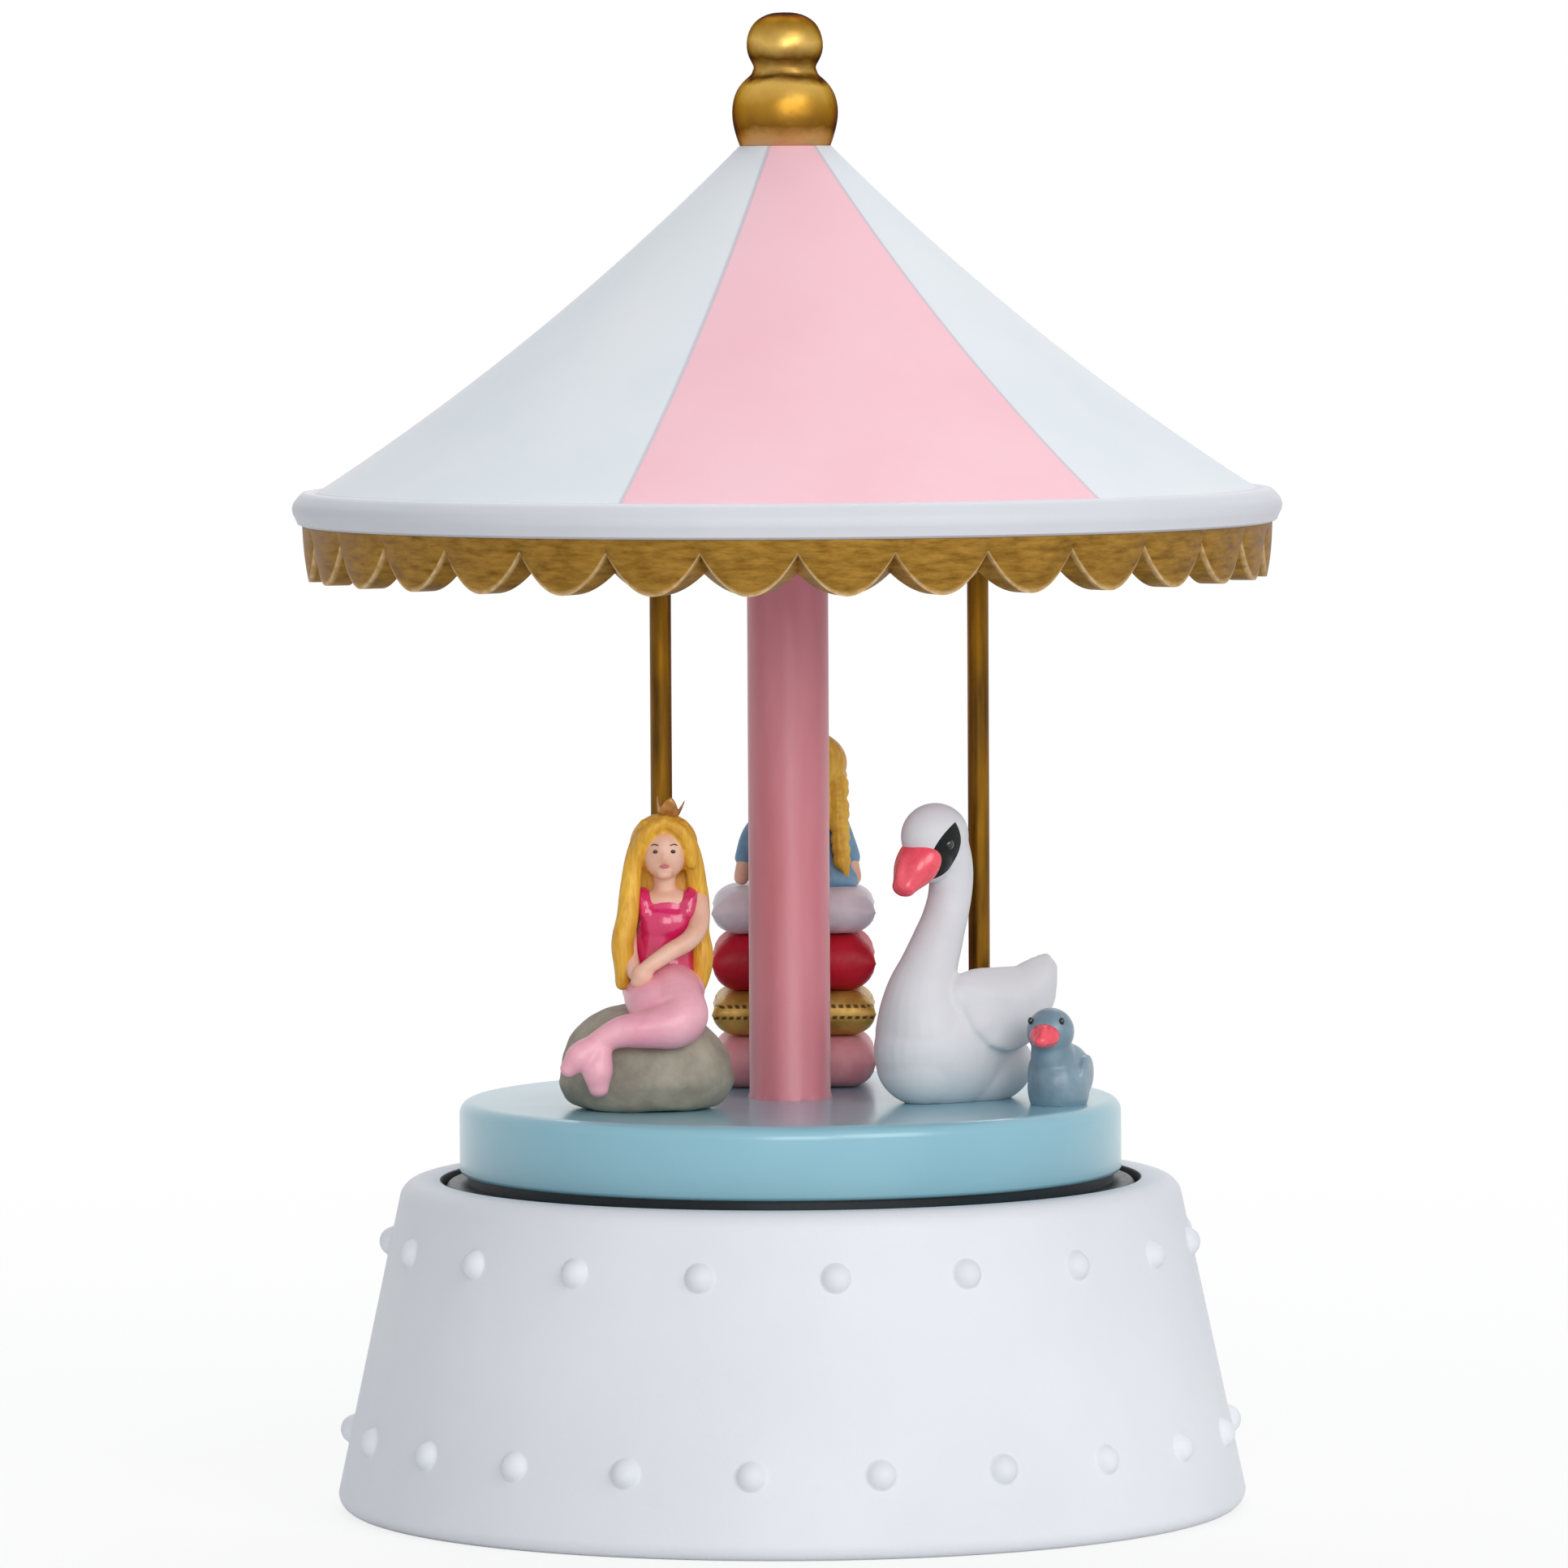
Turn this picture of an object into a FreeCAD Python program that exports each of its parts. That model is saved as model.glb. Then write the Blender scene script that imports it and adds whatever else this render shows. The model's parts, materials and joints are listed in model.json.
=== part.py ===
"""Wind-up carousel music box: a turning canopy with three figure groups over a base with a comb movement.

Millimetres, +Z up. The origin is on the turning axis at the height of the surface the base stands on.
The front of the object faces -Y.
"""
import FreeCAD, Part
import Sketcher
import math
import os
import re

from FreeCAD import Placement, Rotation, Vector

SIZES = {
    # base casting: a hollow truncated cone with a sunk well in its top
    "base_foot_radius": 51.75,
    "base_foot_round": 1.9,
    "base_taper": 7.15,
    "base_lip_height": 37.6,
    "base_lip_round": 2.4,
    "base_skirt_wall": 5.75,
    "base_lip_width": 4.9,
    "well_depth": 3.6,
    "deck_thickness": 3.0,
    "deck_inset": 5.0,
    "spindle_hole_radius": 4.5,
    "bead_radius": 1.75,
    "bead_sink": 0.4,
    "upper_bead_drop": 7.1,
    "upper_bead_count": 19,
    "upper_bead_turn": 6.2,
    "lower_bead_height": 9.2,
    "lower_bead_count": 22,
    "lower_bead_turn": -5.1,
    # cover under the movement
    "cover_height": 8.6,
    "cover_thickness": 2.0,
    "cover_play": 0.3,
    "cover_hole_radius": 4.0,
    "cover_screw_inset": 7.0,
    "cover_boss_radius": 3.2,
    "cover_screw_radius": 1.2,
    "cover_screw_length": 9.0,
    # screws in general
    "thread_play": 0.03,
    "screw_head_share": 1.85,
    "screw_head_height": 1.1,
    "screw_sink": 0.15,
    "screw_tip_gap": 0.5,
    # movement bedplate
    "bedplate_height": 12.0,
    "bedplate_thickness": 2.0,
    "bedplate_left": -14.0,
    "bedplate_right": 35.5,
    "bedplate_front": -25.0,
    "bedplate_back": 19.8,
    "bedplate_corner": 3.0,
    "bedplate_post_radius": 2.8,
    "bedplate_post_inset": 3.6,
    "bedplate_screw_radius": 1.0,
    "bedplate_screw_length": 9.0,
    "running_fit": 0.05,
    "post_head": 2.6,
    "outer_post_head": 2.0,
    "pivot_length": 1.0,
    "pivot_end_gap": 0.1,
    # winding key, arbor, ratchet and click
    "arbor_radius": 1.5,
    "key_hub_radius": 2.6,
    "key_floor_gap": 1.0,
    "key_span": 22.0,
    "key_wing_height": 6.8,
    "key_wing_thickness": 1.7,
    "key_eye_radius": 1.9,
    "key_waist": 1.3,
    "key_hub_gap": 0.6,
    "arbor_bottom": 4.6,
    "arbor_end_gap": 0.6,
    "ratchet_radius": 4.0,
    "ratchet_tooth_depth": 0.6,
    "ratchet_teeth": 16,
    "ratchet_tooth_width": 1.06,
    "ratchet_thickness": 1.0,
    "click_play": 0.15,
    "click_width": 1.6,
    "click_length": 9.0,
    "click_anchor": 3.2,
    "click_leaf_thickness": 0.4,
    # spring barrel
    "crown_teeth": 48,
    "crown_module": 0.45,
    "crown_face": 1.4,
    "barrel_radius": 9.3,
    "barrel_wall": 0.8,
    "barrel_floor": 1.2,
    "barrel_foot_gap": 0.4,
    "barrel_top_gap": 1.6,
    "barrel_lid_thickness": 0.8,
    "lid_spigot": 1.0,
    "spring_strip": 0.3,
    "spring_turns": 8,
    "spring_inner_radius": 2.3,
    "spring_end_play": 0.6,
    "spring_wall_gap": 0.15,
    # pinned cylinder and its arbor
    "cylinder_axis_height": 20.6,
    "pinion_teeth": 12,
    "cylinder_radius": 5.5,
    "cylinder_start": 13.8,
    "cylinder_length": 15.0,
    "drum_wall": 0.7,
    "drum_end": 1.0,
    "pin_height": 0.45,
    "pin_radius": 0.2,
    "note_count": 18,
    "note_spacing": 0.8,
    "first_note": 14.5,
    "note_turn": 137.5,
    "pin_turn": 83.0,
    "fewest_pins": 3,
    "pin_variety": 4,
    "cylinder_arbor_radius": 0.8,
    "post_thickness": 1.0,
    "post_gap": 0.4,
    "gear_side_gap": 0.4,
    "gear_overhang": 0.2,
    "gear_backlash": 0.2,
    "wheel_gap": 0.6,
    "tooth_root_share": 1.25,
    "tooth_tip_share": 0.8,
    "tooth_foot_share": 1.3,
    "tooth_crest_share": 0.6,
    "tooth_sink_share": 0.2,
    "wheel_teeth": 30,
    "wheel_module": 0.4,
    "wheel_face": 1.0,
    # governor
    "governor_pinion_teeth": 10,
    "governor_arbor_radius": 0.6,
    "worm_wheel_teeth": 18,
    "worm_module": 0.45,
    "worm_starts": 2,
    "worm_radius": 1.3,
    "worm_turns": 2,
    "pivot_radius": 0.4,
    "fan_radius": 4.2,
    "fan_height": 2.4,
    "fan_thickness": 0.5,
    "fan_hub_radius": 1.0,
    "fan_gap": 0.6,
    "bracket_thickness": 1.0,
    "bracket_width": 4.0,
    "bracket_screw_radius": 0.7,
    # comb
    "comb_thickness": 0.7,
    "comb_pin_gap": 0.12,
    "comb_tine_length": 9.4,
    "comb_slot": 0.18,
    "comb_depth": 7.0,
    "comb_seat_setback": 0.6,
    "comb_margin": 0.6,
    "comb_screw_inset": 3.4,
    "comb_screw_radius": 1.0,
    "comb_screw_length": 5.0,
    # spindle, drive plate and turntable
    "spindle_radius": 1.5,
    "spindle_flange_radius": 4.0,
    "spindle_flange_thickness": 0.8,
    "spindle_collar_radius": 3.2,
    "spindle_collar_length": 2.2,
    "stud_radius": 1.25,
    "nut_width": 5.0,
    "nut_thickness": 2.0,
    "nut_pocket_radius": 4.0,
    "stud_end": 0.5,
    "well_play": 0.5,
    "plate_floor_gap": 0.6,
    "plate_flange_thickness": 2.6,
    "plate_step_inset": 0.9,
    "plate_step_thickness": 1.1,
    "turntable_gap": 2.0,
    "turntable_thickness": 8.3,
    "turntable_top_round": 1.5,
    "turntable_bottom_round": 0.5,
    "turntable_screw_circle": 24.0,
    "turntable_screw_radius": 1.1,
    "turntable_screw_length": 6.0,
    "glue_gap": 0.05,
    # pole, rods, canopy and finial
    "pole_radius": 4.62,
    "spigot_radius": 3.4,
    "spigot_length": 3.8,
    "rod_radius": 1.22,
    "rod_seat_depth": 4.0,
    "rod_play": 0.1,
    "mermaid_rod_right": 2.2,
    "mermaid_rod_back": 6.0,
    "swan_rod_right": 2.4,
    "swan_rod_back": 3.0,
    "cushion_rod_right": -1.0,
    "cushion_rod_back": -6.2,
    "rod_boss_radius": 3.0,
    "rod_boss_rise": 9.4,
    "rod_boss_depth": 6.0,
    "stage_height": 59.3,
    "valance_depth": 6.2,
    "valance_top_radius": 55.1,
    "valance_taper": 0.6,
    "valance_wall": 2.6,
    "scallop_count": 32,
    "scallop_turn": 1.2,
    "scallop_depth": 2.4,
    "scallop_flat": 0.5,
    "scallop_relief": 0.5,
    "scallop_relief_height": 4.6,
    "scallop_relief_share": 0.66,
    "cut_margin": 1.0,
    "rim_overhang": 1.1,
    "rim_thickness": 4.3,
    "rim_bulge_share": 0.15,
    "rim_ledge": 1.9,
    "roof_rise": 38.5,
    "roof_top_radius": 6.0,
    "roof_sag_radius": 217.0,
    "roof_wall": 2.8,
    "roof_lip": 3.9,
    "roof_boss_radius": 8.0,
    "roof_boss_drop": 16.9,
    "roof_boss_root_drop": 7.1,
    "roof_spigot_length": 8.0,
    "roof_boss_cover": 0.8,
    "roof_sag_allowance": 1.3,
    "finial_lower_radius": 6.15,
    "finial_lower_rise": 3.3,
    "finial_upper_radius": 4.4,
    "finial_upper_rise": 10.7,
    "finial_stud_radius": 1.2,
    "finial_stud_depth": 3.2,
    # mermaid and rock
    "rock_x": -16.6,
    "rock_y": -12.6,
    "rock_width": 20.0,
    "rock_depth": 17.0,
    "rock_height": 11.6,
    "mermaid_right": 2.4,
    "mermaid_forward": 0.6,
    "mermaid_turn": -12.0,
    "mermaid_torso": 12.9,
    "mermaid_head_radius": 3.0,
    "mermaid_hip_radius": 4.0,
    "mermaid_tail_length": 15.0,
    # cushions and seated girl
    "cushion_x": 0.5,
    "cushion_y": 19.6,
    "cushion_width": 19.2,
    "cushion_pull": 0.7,
    "cushion_flat": 0.82,
    "cushion_side_share": 0.84,
    "cushion_corner_share": 0.96,
    "pink_cushion_thickness": 6.0,
    "gold_cushion_thickness": 5.2,
    "crimson_cushion_thickness": 6.5,
    "lilac_cushion_thickness": 5.2,
    "girl_setback": 1.6,
    "girl_shift": 1.4,
    "girl_skirt_width": 15.0,
    "girl_skirt_depth": 12.4,
    "girl_waist_height": 6.4,
    "girl_shoulder_height": 10.2,
    "girl_head_radius": 2.8,
    # swan and cygnet
    "swan_x": 19.2,
    "swan_y": -4.0,
    "swan_turn": -48.0,
    "swan_length": 20.0,
    "swan_width": 12.6,
    "swan_body_height": 15.0,
    "swan_neck_radius": 2.7,
    "swan_head_height": 30.5,
    "swan_head_radius": 3.5,
    "swan_beak_length": 5.2,
    "cygnet_x": 30.0,
    "cygnet_y": -10.6,
    "cygnet_turn": -22.0,
    "cygnet_length": 8.8,
    "cygnet_body_height": 6.8,
    "cygnet_head_radius": 3.1,
}

COVER_SCREW_ANGLES = (45, 165, 285)
TURNTABLE_SCREW_ANGLES = (90, 210, 330)
BEDPLATE_POSTS = (
    ("bedplate_left + bedplate_post_inset", "bedplate_front + bedplate_post_inset"),
    ("bedplate_left + bedplate_post_inset", "bedplate_back - bedplate_post_inset"),
    ("bedplate_right - bedplate_post_inset", "bedplate_front + bedplate_post_inset"),
)
COMB_SCREWS = ("comb_left + comb_screw_inset", "comb_right - comb_screw_inset")
RODS = ("mermaid", "swan", "cushion")

# heights and places that follow from the sizes above
DERIVED = {
    "base_shoulder_radius": "base_foot_radius - base_taper",
    "base_skirt_radius": "base_foot_radius - base_skirt_wall",
    "well_radius": "base_shoulder_radius - base_lip_width",
    "well_floor_height": "base_lip_height - well_depth",
    "deck_radius": "base_skirt_radius - deck_inset",
    "upper_bead_height": "base_lip_height - upper_bead_drop",
    "cover_screw_circle": "base_skirt_radius - cover_screw_inset",
    "deck_bottom": "well_floor_height - deck_thickness",
    "barrel_top_height": "deck_bottom - barrel_top_gap - barrel_lid_thickness",
    "turntable_radius": "well_radius - turntable_gap",
    "plate_step_radius": "turntable_radius - plate_step_inset",
    "turntable_bottom": "well_floor_height + plate_floor_gap + plate_flange_thickness + plate_step_thickness",
    "turntable_top": "turntable_bottom + turntable_thickness",
    "plate_bottom": "well_floor_height + plate_floor_gap",
    "cover_top": "cover_height + cover_thickness",
    "bedplate_top": "bedplate_height + bedplate_thickness",
    "crown_radius": "crown_teeth * crown_module / 2",
    "pinion_radius": "pinion_teeth * crown_module / 2",
    "crown_root": "cylinder_axis_height - pinion_radius - tooth_root_share * crown_module",
    "crown_tip": "cylinder_axis_height - pinion_radius + tooth_tip_share * crown_module",
    "crown_inner": "crown_radius - crown_face / 2",
    "crown_outer": "crown_radius + crown_face / 2",
    "ratchet_bottom": "bedplate_top + barrel_foot_gap",
    "barrel_bottom": "ratchet_bottom + ratchet_thickness + barrel_foot_gap",
    "lid_top": "barrel_top_height + barrel_lid_thickness",
    "left_post": "cylinder_start - gear_side_gap - post_thickness",
    "right_post": "cylinder_start + cylinder_length + post_gap",
    "wheel_place": "right_post + post_thickness + post_gap",
    "governor_y": "(wheel_teeth + governor_pinion_teeth) * wheel_module / 2",
    "worm_wheel_radius": "worm_wheel_teeth * worm_module / 2",
    "worm_wheel_place": "wheel_place + wheel_face + wheel_gap",
    "outer_post": "worm_wheel_place + wheel_face + wheel_gap",
    "worm_x": "worm_wheel_place + wheel_face / 2",
    "worm_y": "governor_y + worm_wheel_radius + worm_radius",
    "fan_bottom": "cylinder_axis_height + worm_wheel_radius + tooth_tip_share * worm_module + fan_gap",
    "bracket_arm": "fan_bottom + fan_height + fan_gap",
    "bracket_back": "worm_y + fan_radius + fan_gap",
    "bracket_foot": "worm_y + worm_radius + 2 * worm_module",
    "bracket_screw_y": "(bracket_foot + bracket_back) / 2",
    "comb_screw_y": "comb_back + (comb_depth - comb_seat_setback) / 2",
    "comb_tip": "0 - cylinder_radius - pin_height - comb_pin_gap",
    "comb_heel": "comb_tip - comb_tine_length",
    "comb_back": "comb_heel - comb_depth",
    "comb_left": "first_note - comb_margin",
    "comb_right": "first_note + note_spacing * (note_count - 1) + comb_margin",
    "comb_bottom": "cylinder_axis_height - comb_thickness",
    "plate_step_bottom": "plate_bottom + plate_flange_thickness",
    "screw_recess": "screw_head_height + screw_sink",
    "valance_bottom_height": "turntable_top + stage_height",
    "rim_bottom": "valance_bottom_height + valance_depth",
    "rim_top": "rim_bottom + rim_thickness",
    "valance_bottom_radius": "valance_top_radius - valance_taper",
    "rim_radius": "valance_top_radius + rim_overhang",
    "rim_lower_chord": "sqrt(rim_overhang ^ 2 + rim_thickness ^ 2 / 4)",
    "rim_upper_chord": "sqrt(rim_ledge ^ 2 + rim_thickness ^ 2 / 4)",
    "rim_bulge": "1 / (8 * rim_bulge_share) + rim_bulge_share / 2",
    "roof_edge_radius": "rim_radius - rim_ledge",
    "roof_inner_radius": "valance_top_radius - roof_lip",
    "roof_top_height": "rim_top + roof_rise",
    "roof_boss_height": "roof_top_height - roof_boss_drop",
    "roof_boss_root": "roof_top_height - roof_boss_root_drop",
    "rod_boss_height": "rim_top + rod_boss_rise",
    "finial_lower_height": "roof_top_height + finial_lower_rise",
    "finial_upper_height": "roof_top_height + finial_upper_rise",
    "roof_run": "roof_edge_radius - roof_top_radius",
    "roof_sag": "(roof_run ^ 2 + roof_rise ^ 2) / 2 / roof_sag_radius",
    "rod_top": "rod_boss_height + rod_boss_depth",
    "rod_bottom": "turntable_top - rod_seat_depth",
    "mermaid_rod_x": "rock_x + mermaid_rod_right",
    "mermaid_rod_y": "rock_y + mermaid_rod_back",
    "swan_rod_x": "swan_x + swan_rod_right",
    "swan_rod_y": "swan_y + swan_rod_back",
    "cushion_rod_x": "cushion_x + cushion_rod_right",
    "cushion_rod_y": "cushion_y + cushion_rod_back",
    "rock_top": "turntable_top + rock_height",
    "mermaid_x": "rock_x + mermaid_right",
    "mermaid_y": "rock_y - mermaid_forward",
    "gold_cushion_bottom": "turntable_top + pink_cushion_thickness",
    "crimson_cushion_bottom": "gold_cushion_bottom + gold_cushion_thickness",
    "lilac_cushion_bottom": "crimson_cushion_bottom + crimson_cushion_thickness",
    "girl_seat": "lilac_cushion_bottom + lilac_cushion_thickness",
    "shoulder_height": "base_lip_height - base_lip_round",
    "wall_slope": "(base_foot_radius - base_shoulder_radius) / (shoulder_height - base_foot_round)",
}

document = FreeCAD.newDocument("carousel_music_box")
sheet = document.addObject("Spreadsheet::Sheet", "Sizes")
for row, (alias, entry) in enumerate({**SIZES, **DERIVED}.items(), start=1):
    text = str(entry)
    if alias in DERIVED:
        text = "=" + text
    sheet.set("A%d" % row, alias)
    sheet.setAlias("B%d" % row, alias)
    sheet.set("B%d" % row, text)
document.recompute()

NAMES = set(SIZES) | set(DERIVED)
nodes = {}


def cells(expression):
    """The expression with each size's name written as its cell in the sheet."""
    def cell(word):
        return "Sizes." + word.group() if word.group() in NAMES else word.group()
    return re.sub(r"[a-z_]\w*", cell, str(expression))


def number(expression):
    """The expression's value now, in millimetres."""
    return float(sheet.evalExpression(cells(expression)))


def bind(thing, **expressions):
    """Tie properties to the sheet."""
    for name, expression in expressions.items():
        thing.setExpression(name, cells(expression))
    return thing


def place(thing, at=("0", "0", "0"), turn=None):
    """Set a thing's turn, and tie its place to the sheet."""
    thing.Placement = Placement(Vector(), turn or Rotation())
    for axis, expression in zip("xyz", at):
        thing.setExpression("Placement.Base." + axis, cells(expression))
    return thing


def add(kind, name):
    return document.addObject("Part::" + kind, name)


ALONG_X = Rotation(Vector(0, 1, 0), 90)
ALONG_Y = Rotation(Vector(1, 0, 0), -90)


def cylinder(name, radius, height, at=("0", "0", "0"), turn=None):
    return place(bind(add("Cylinder", name), Radius=radius, Height=height), at, turn)


def block(name, length, width, height, at):
    """A box whose near lower left corner is at the given place."""
    return place(bind(add("Box", name), Length=length, Width=width, Height=height), at)


def fuse(name, *pieces):
    whole = add("MultiFuse", name)
    whole.Shapes = list(pieces)
    return whole


def cut(name, base, *tools):
    result = add("Cut", name)
    result.Base = base
    result.Tool = tools[0] if len(tools) == 1 else fuse(name + "_tools", *tools)
    return result


def group(name, *pieces):
    whole = add("Compound", name)
    whole.Links = list(pieces)
    return whole


def solid(name, shape):
    """A piece whose shape is worked out here from the sheet's sizes."""
    feature = add("Feature", name)
    feature.Shape = shape
    return feature


def node(name, thing):
    """Register a finished sub-part under its own label."""
    thing.Label = name
    nodes[name] = thing
    return thing


def polar(radius, angle):
    """Place expressions of a point on a circle about the turning axis."""
    return "%s * cos(%s)" % (radius, angle), "%s * sin(%s)" % (radius, angle)


def plane(body, role):
    return next(feature for feature in body.Origin.OriginFeatures if feature.Role == role)


def new_body(name):
    return document.addObject("PartDesign::Body", name)


def outline(body, name, role, points, offset="0"):
    """A closed sketch whose corners are tied to the sheet.

    A point is (x, y), or (x, y, radius) where an arc of that radius arrives from the point before.
    The arc bends to the left of its chord for a positive radius, and to the right for a negative one.
    """
    sketch = body.newObject("Sketcher::SketchObject", name)
    sketch.AttachmentSupport = [(plane(body, role), "")]
    sketch.MapMode = "FlatFace"
    sketch.setExpression("AttachmentOffset.Base.z", cells(offset))
    corners = [Vector(number(point[0]), number(point[1]), 0) for point in points]
    count = len(points)
    turned = []
    for index in range(count):
        start, end = corners[index], corners[(index + 1) % count]
        target = points[(index + 1) % count]
        turned.append(False)
        if len(target) == 2:
            sketch.addGeometry(Part.LineSegment(start, end), False)
            continue
        radius = number(target[2])
        chord = end - start
        side = Vector(-chord.y, chord.x, 0).normalize()
        rise = abs(radius) - math.sqrt(radius ** 2 - chord.Length ** 2 / 4)
        middle = (start + end) / 2 + side * math.copysign(rise, radius)
        arc = Part.Arc(start, middle, end).toShape().Curve
        # a sketch arc runs anticlockwise, so its ends swap where the outline runs the other way
        turned[-1] = radius > 0
        first, last = (end, start) if turned[-1] else (start, end)
        angles = [math.atan2(point.y - arc.Center.y, point.x - arc.Center.x) for point in (first, last)]
        circle = Part.Circle(arc.Center, Vector(0, 0, 1), arc.Radius)
        sketch.addGeometry(Part.ArcOfCircle(circle, angles[0], angles[1]), False)
        bent = sketch.addConstraint(Sketcher.Constraint("Radius", index, abs(radius)))
        sketch.setExpression("Constraints[%d]" % bent, "abs(%s)" % cells(target[2]))
    head = [2 if flag else 1 for flag in turned]
    tail = [1 if flag else 2 for flag in turned]
    for index in range(count):
        after = (index + 1) % count
        sketch.addConstraint(Sketcher.Constraint("Coincident", index, tail[index], after, head[after]))
    for index, point in enumerate(points):
        for kind, expression, value in (("DistanceX", point[0], corners[index].x),
                                        ("DistanceY", point[1], corners[index].y)):
            held = sketch.addConstraint(Sketcher.Constraint(kind, -1, 1, index, head[index], value))
            sketch.setExpression("Constraints[%d]" % held, cells(expression))
    return sketch


def revolve(body, name, points):
    """Turn an outline in the XZ plane about the body's Z axis."""
    sketch = outline(body, name + "_outline", "XZ_Plane", points)
    feature = body.newObject("PartDesign::Revolution", name)
    feature.Profile = sketch
    feature.ReferenceAxis = (sketch, ["V_Axis"])
    feature.Angle = 360
    return feature


def pad(body, name, role, points, length, offset="0"):
    feature = body.newObject("PartDesign::Pad", name)
    feature.Profile = outline(body, name + "_outline", role, points, offset)
    return bind(feature, Length=length)


def pocket(body, name, role, points, length, offset="0"):
    """Cut an outline into the body, against the normal of its plane."""
    feature = body.newObject("PartDesign::Pocket", name)
    feature.Profile = outline(body, name + "_outline", role, points, offset)
    return bind(feature, Length=length)


def around(body, name, feature, count):
    """Repeat a feature evenly about the body's Z axis."""
    pattern = body.newObject("PartDesign::PolarPattern", name)
    pattern.Originals = [feature]
    pattern.Axis = (next(axis for axis in body.Origin.OriginFeatures if axis.Role == "Z_Axis"), [""])
    pattern.Angle = 360
    bind(pattern, Occurrences=count)
    body.Tip = pattern
    return pattern


def post(body, name, radius, height, at):
    feature = bind(body.newObject("PartDesign::AdditiveCylinder", name), Radius=radius, Height=height)
    return place(feature, at)


def bore(body, name, radius, height, at, turn=None):
    feature = bind(body.newObject("PartDesign::SubtractiveCylinder", name), Radius=radius, Height=height)
    return place(feature, at, turn)


def screw(name, radius, length, at, downward=False):
    """A pan-head screw with its head under the place given, or over it where it points downward."""
    x, y, z = at
    head_height = "screw_head_height"
    head_place = z if downward else "%s - %s" % (z, head_height)
    shank_place = "%s - (%s)" % (z, length) if downward else z
    head = cylinder(name + "_head", "%s * screw_head_share" % radius, head_height, (x, y, head_place))
    shank = cylinder(name + "_shank", radius, length, (x, y, shank_place))
    return fuse(name, head, shank)


# base casting

def wall_radius(height):
    return "base_foot_radius - (%s - base_foot_round) * wall_slope" % height


def base_shell():
    body = new_body("base_shell")
    revolve(body, "base_wall", [
        ("base_skirt_radius", "0"),
        ("base_foot_radius - base_foot_round", "0"),
        ("base_foot_radius", "base_foot_round", "0 - base_foot_round"),
        ("base_shoulder_radius", "shoulder_height"),
        ("base_shoulder_radius - base_lip_round", "base_lip_height", "0 - base_lip_round"),
        ("well_radius", "base_lip_height"),
        ("well_radius", "well_floor_height"),
        ("spindle_hole_radius", "well_floor_height"),
        ("spindle_hole_radius", "deck_bottom"),
        ("deck_radius", "deck_bottom"),
        ("base_skirt_radius", "cover_top"),
    ])
    for index, angle in enumerate(COVER_SCREW_ANGLES):
        x, y = polar("cover_screw_circle", angle)
        post(body, "cover_boss_%d" % index, "cover_boss_radius",
             "deck_bottom - cover_top + deck_thickness / 2", (x, y, "cover_top"))
        bore(body, "cover_pilot_%d" % index, "cover_screw_radius + thread_play", "cover_screw_length",
             (x, y, "cover_top"))
    for index, (x, y) in enumerate(BEDPLATE_POSTS):
        post(body, "bedplate_post_%d" % index, "bedplate_post_radius",
             "deck_bottom - bedplate_top + deck_thickness / 2", (x, y, "bedplate_top"))
        bore(body, "bedplate_pilot_%d" % index, "bedplate_screw_radius + thread_play",
             "bedplate_screw_length", (x, y, "bedplate_top"))
    for row in ("upper", "lower"):
        height = "%s_bead_height" % row
        x, y = polar("(%s - bead_sink)" % wall_radius(height), "%s_bead_turn - 90" % row)
        bead = place(bind(body.newObject("PartDesign::AdditiveSphere", row + "_bead"), Radius="bead_radius"),
                     (x, y, height))
        around(body, row + "_beads", bead, "%s_bead_count" % row)
    return node("base_shell", body)


def base_cover():
    middle = ("0", "0", "cover_height")
    disc = cylinder("cover_disc", "base_skirt_radius - cover_play", "cover_thickness", middle)
    holes = [cylinder("cover_key_hole", "cover_hole_radius", "cover_thickness", middle)]
    screws = []
    for index, angle in enumerate(COVER_SCREW_ANGLES):
        x, y = polar("cover_screw_circle", angle)
        holes.append(cylinder("cover_hole_%d" % index, "cover_screw_radius + thread_play", "cover_thickness",
                              (x, y, "cover_height")))
        screws.append(screw("cover_screw_%d" % index, "cover_screw_radius",
                            "cover_thickness + cover_screw_length - screw_tip_gap", (x, y, "cover_height")))
    node("base_cover", cut("cover", disc, *holes))
    node("base_cover_screws", group("cover_screws", *screws))


# movement: bedplate with its bearing posts, comb, governor bracket and click

def rounded_plate(left, right, front, back, corner):
    """Corners of a rounded rectangle, anticlockwise from the front left."""
    bend = "0 - " + corner
    return [
        ("%s + %s" % (left, corner), front, bend),
        ("%s - %s" % (right, corner), front),
        (right, "%s + %s" % (front, corner), bend),
        (right, "%s - %s" % (back, corner)),
        ("%s - %s" % (right, corner), back, bend),
        ("%s + %s" % (left, corner), back),
        (left, "%s - %s" % (back, corner), bend),
        (left, "%s + %s" % (front, corner)),
    ]


def upright(body, name, length, width, height, at):
    feature = bind(body.newObject("PartDesign::AdditiveBox", name), Length=length, Width=width, Height=height)
    return place(feature, at)


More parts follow.
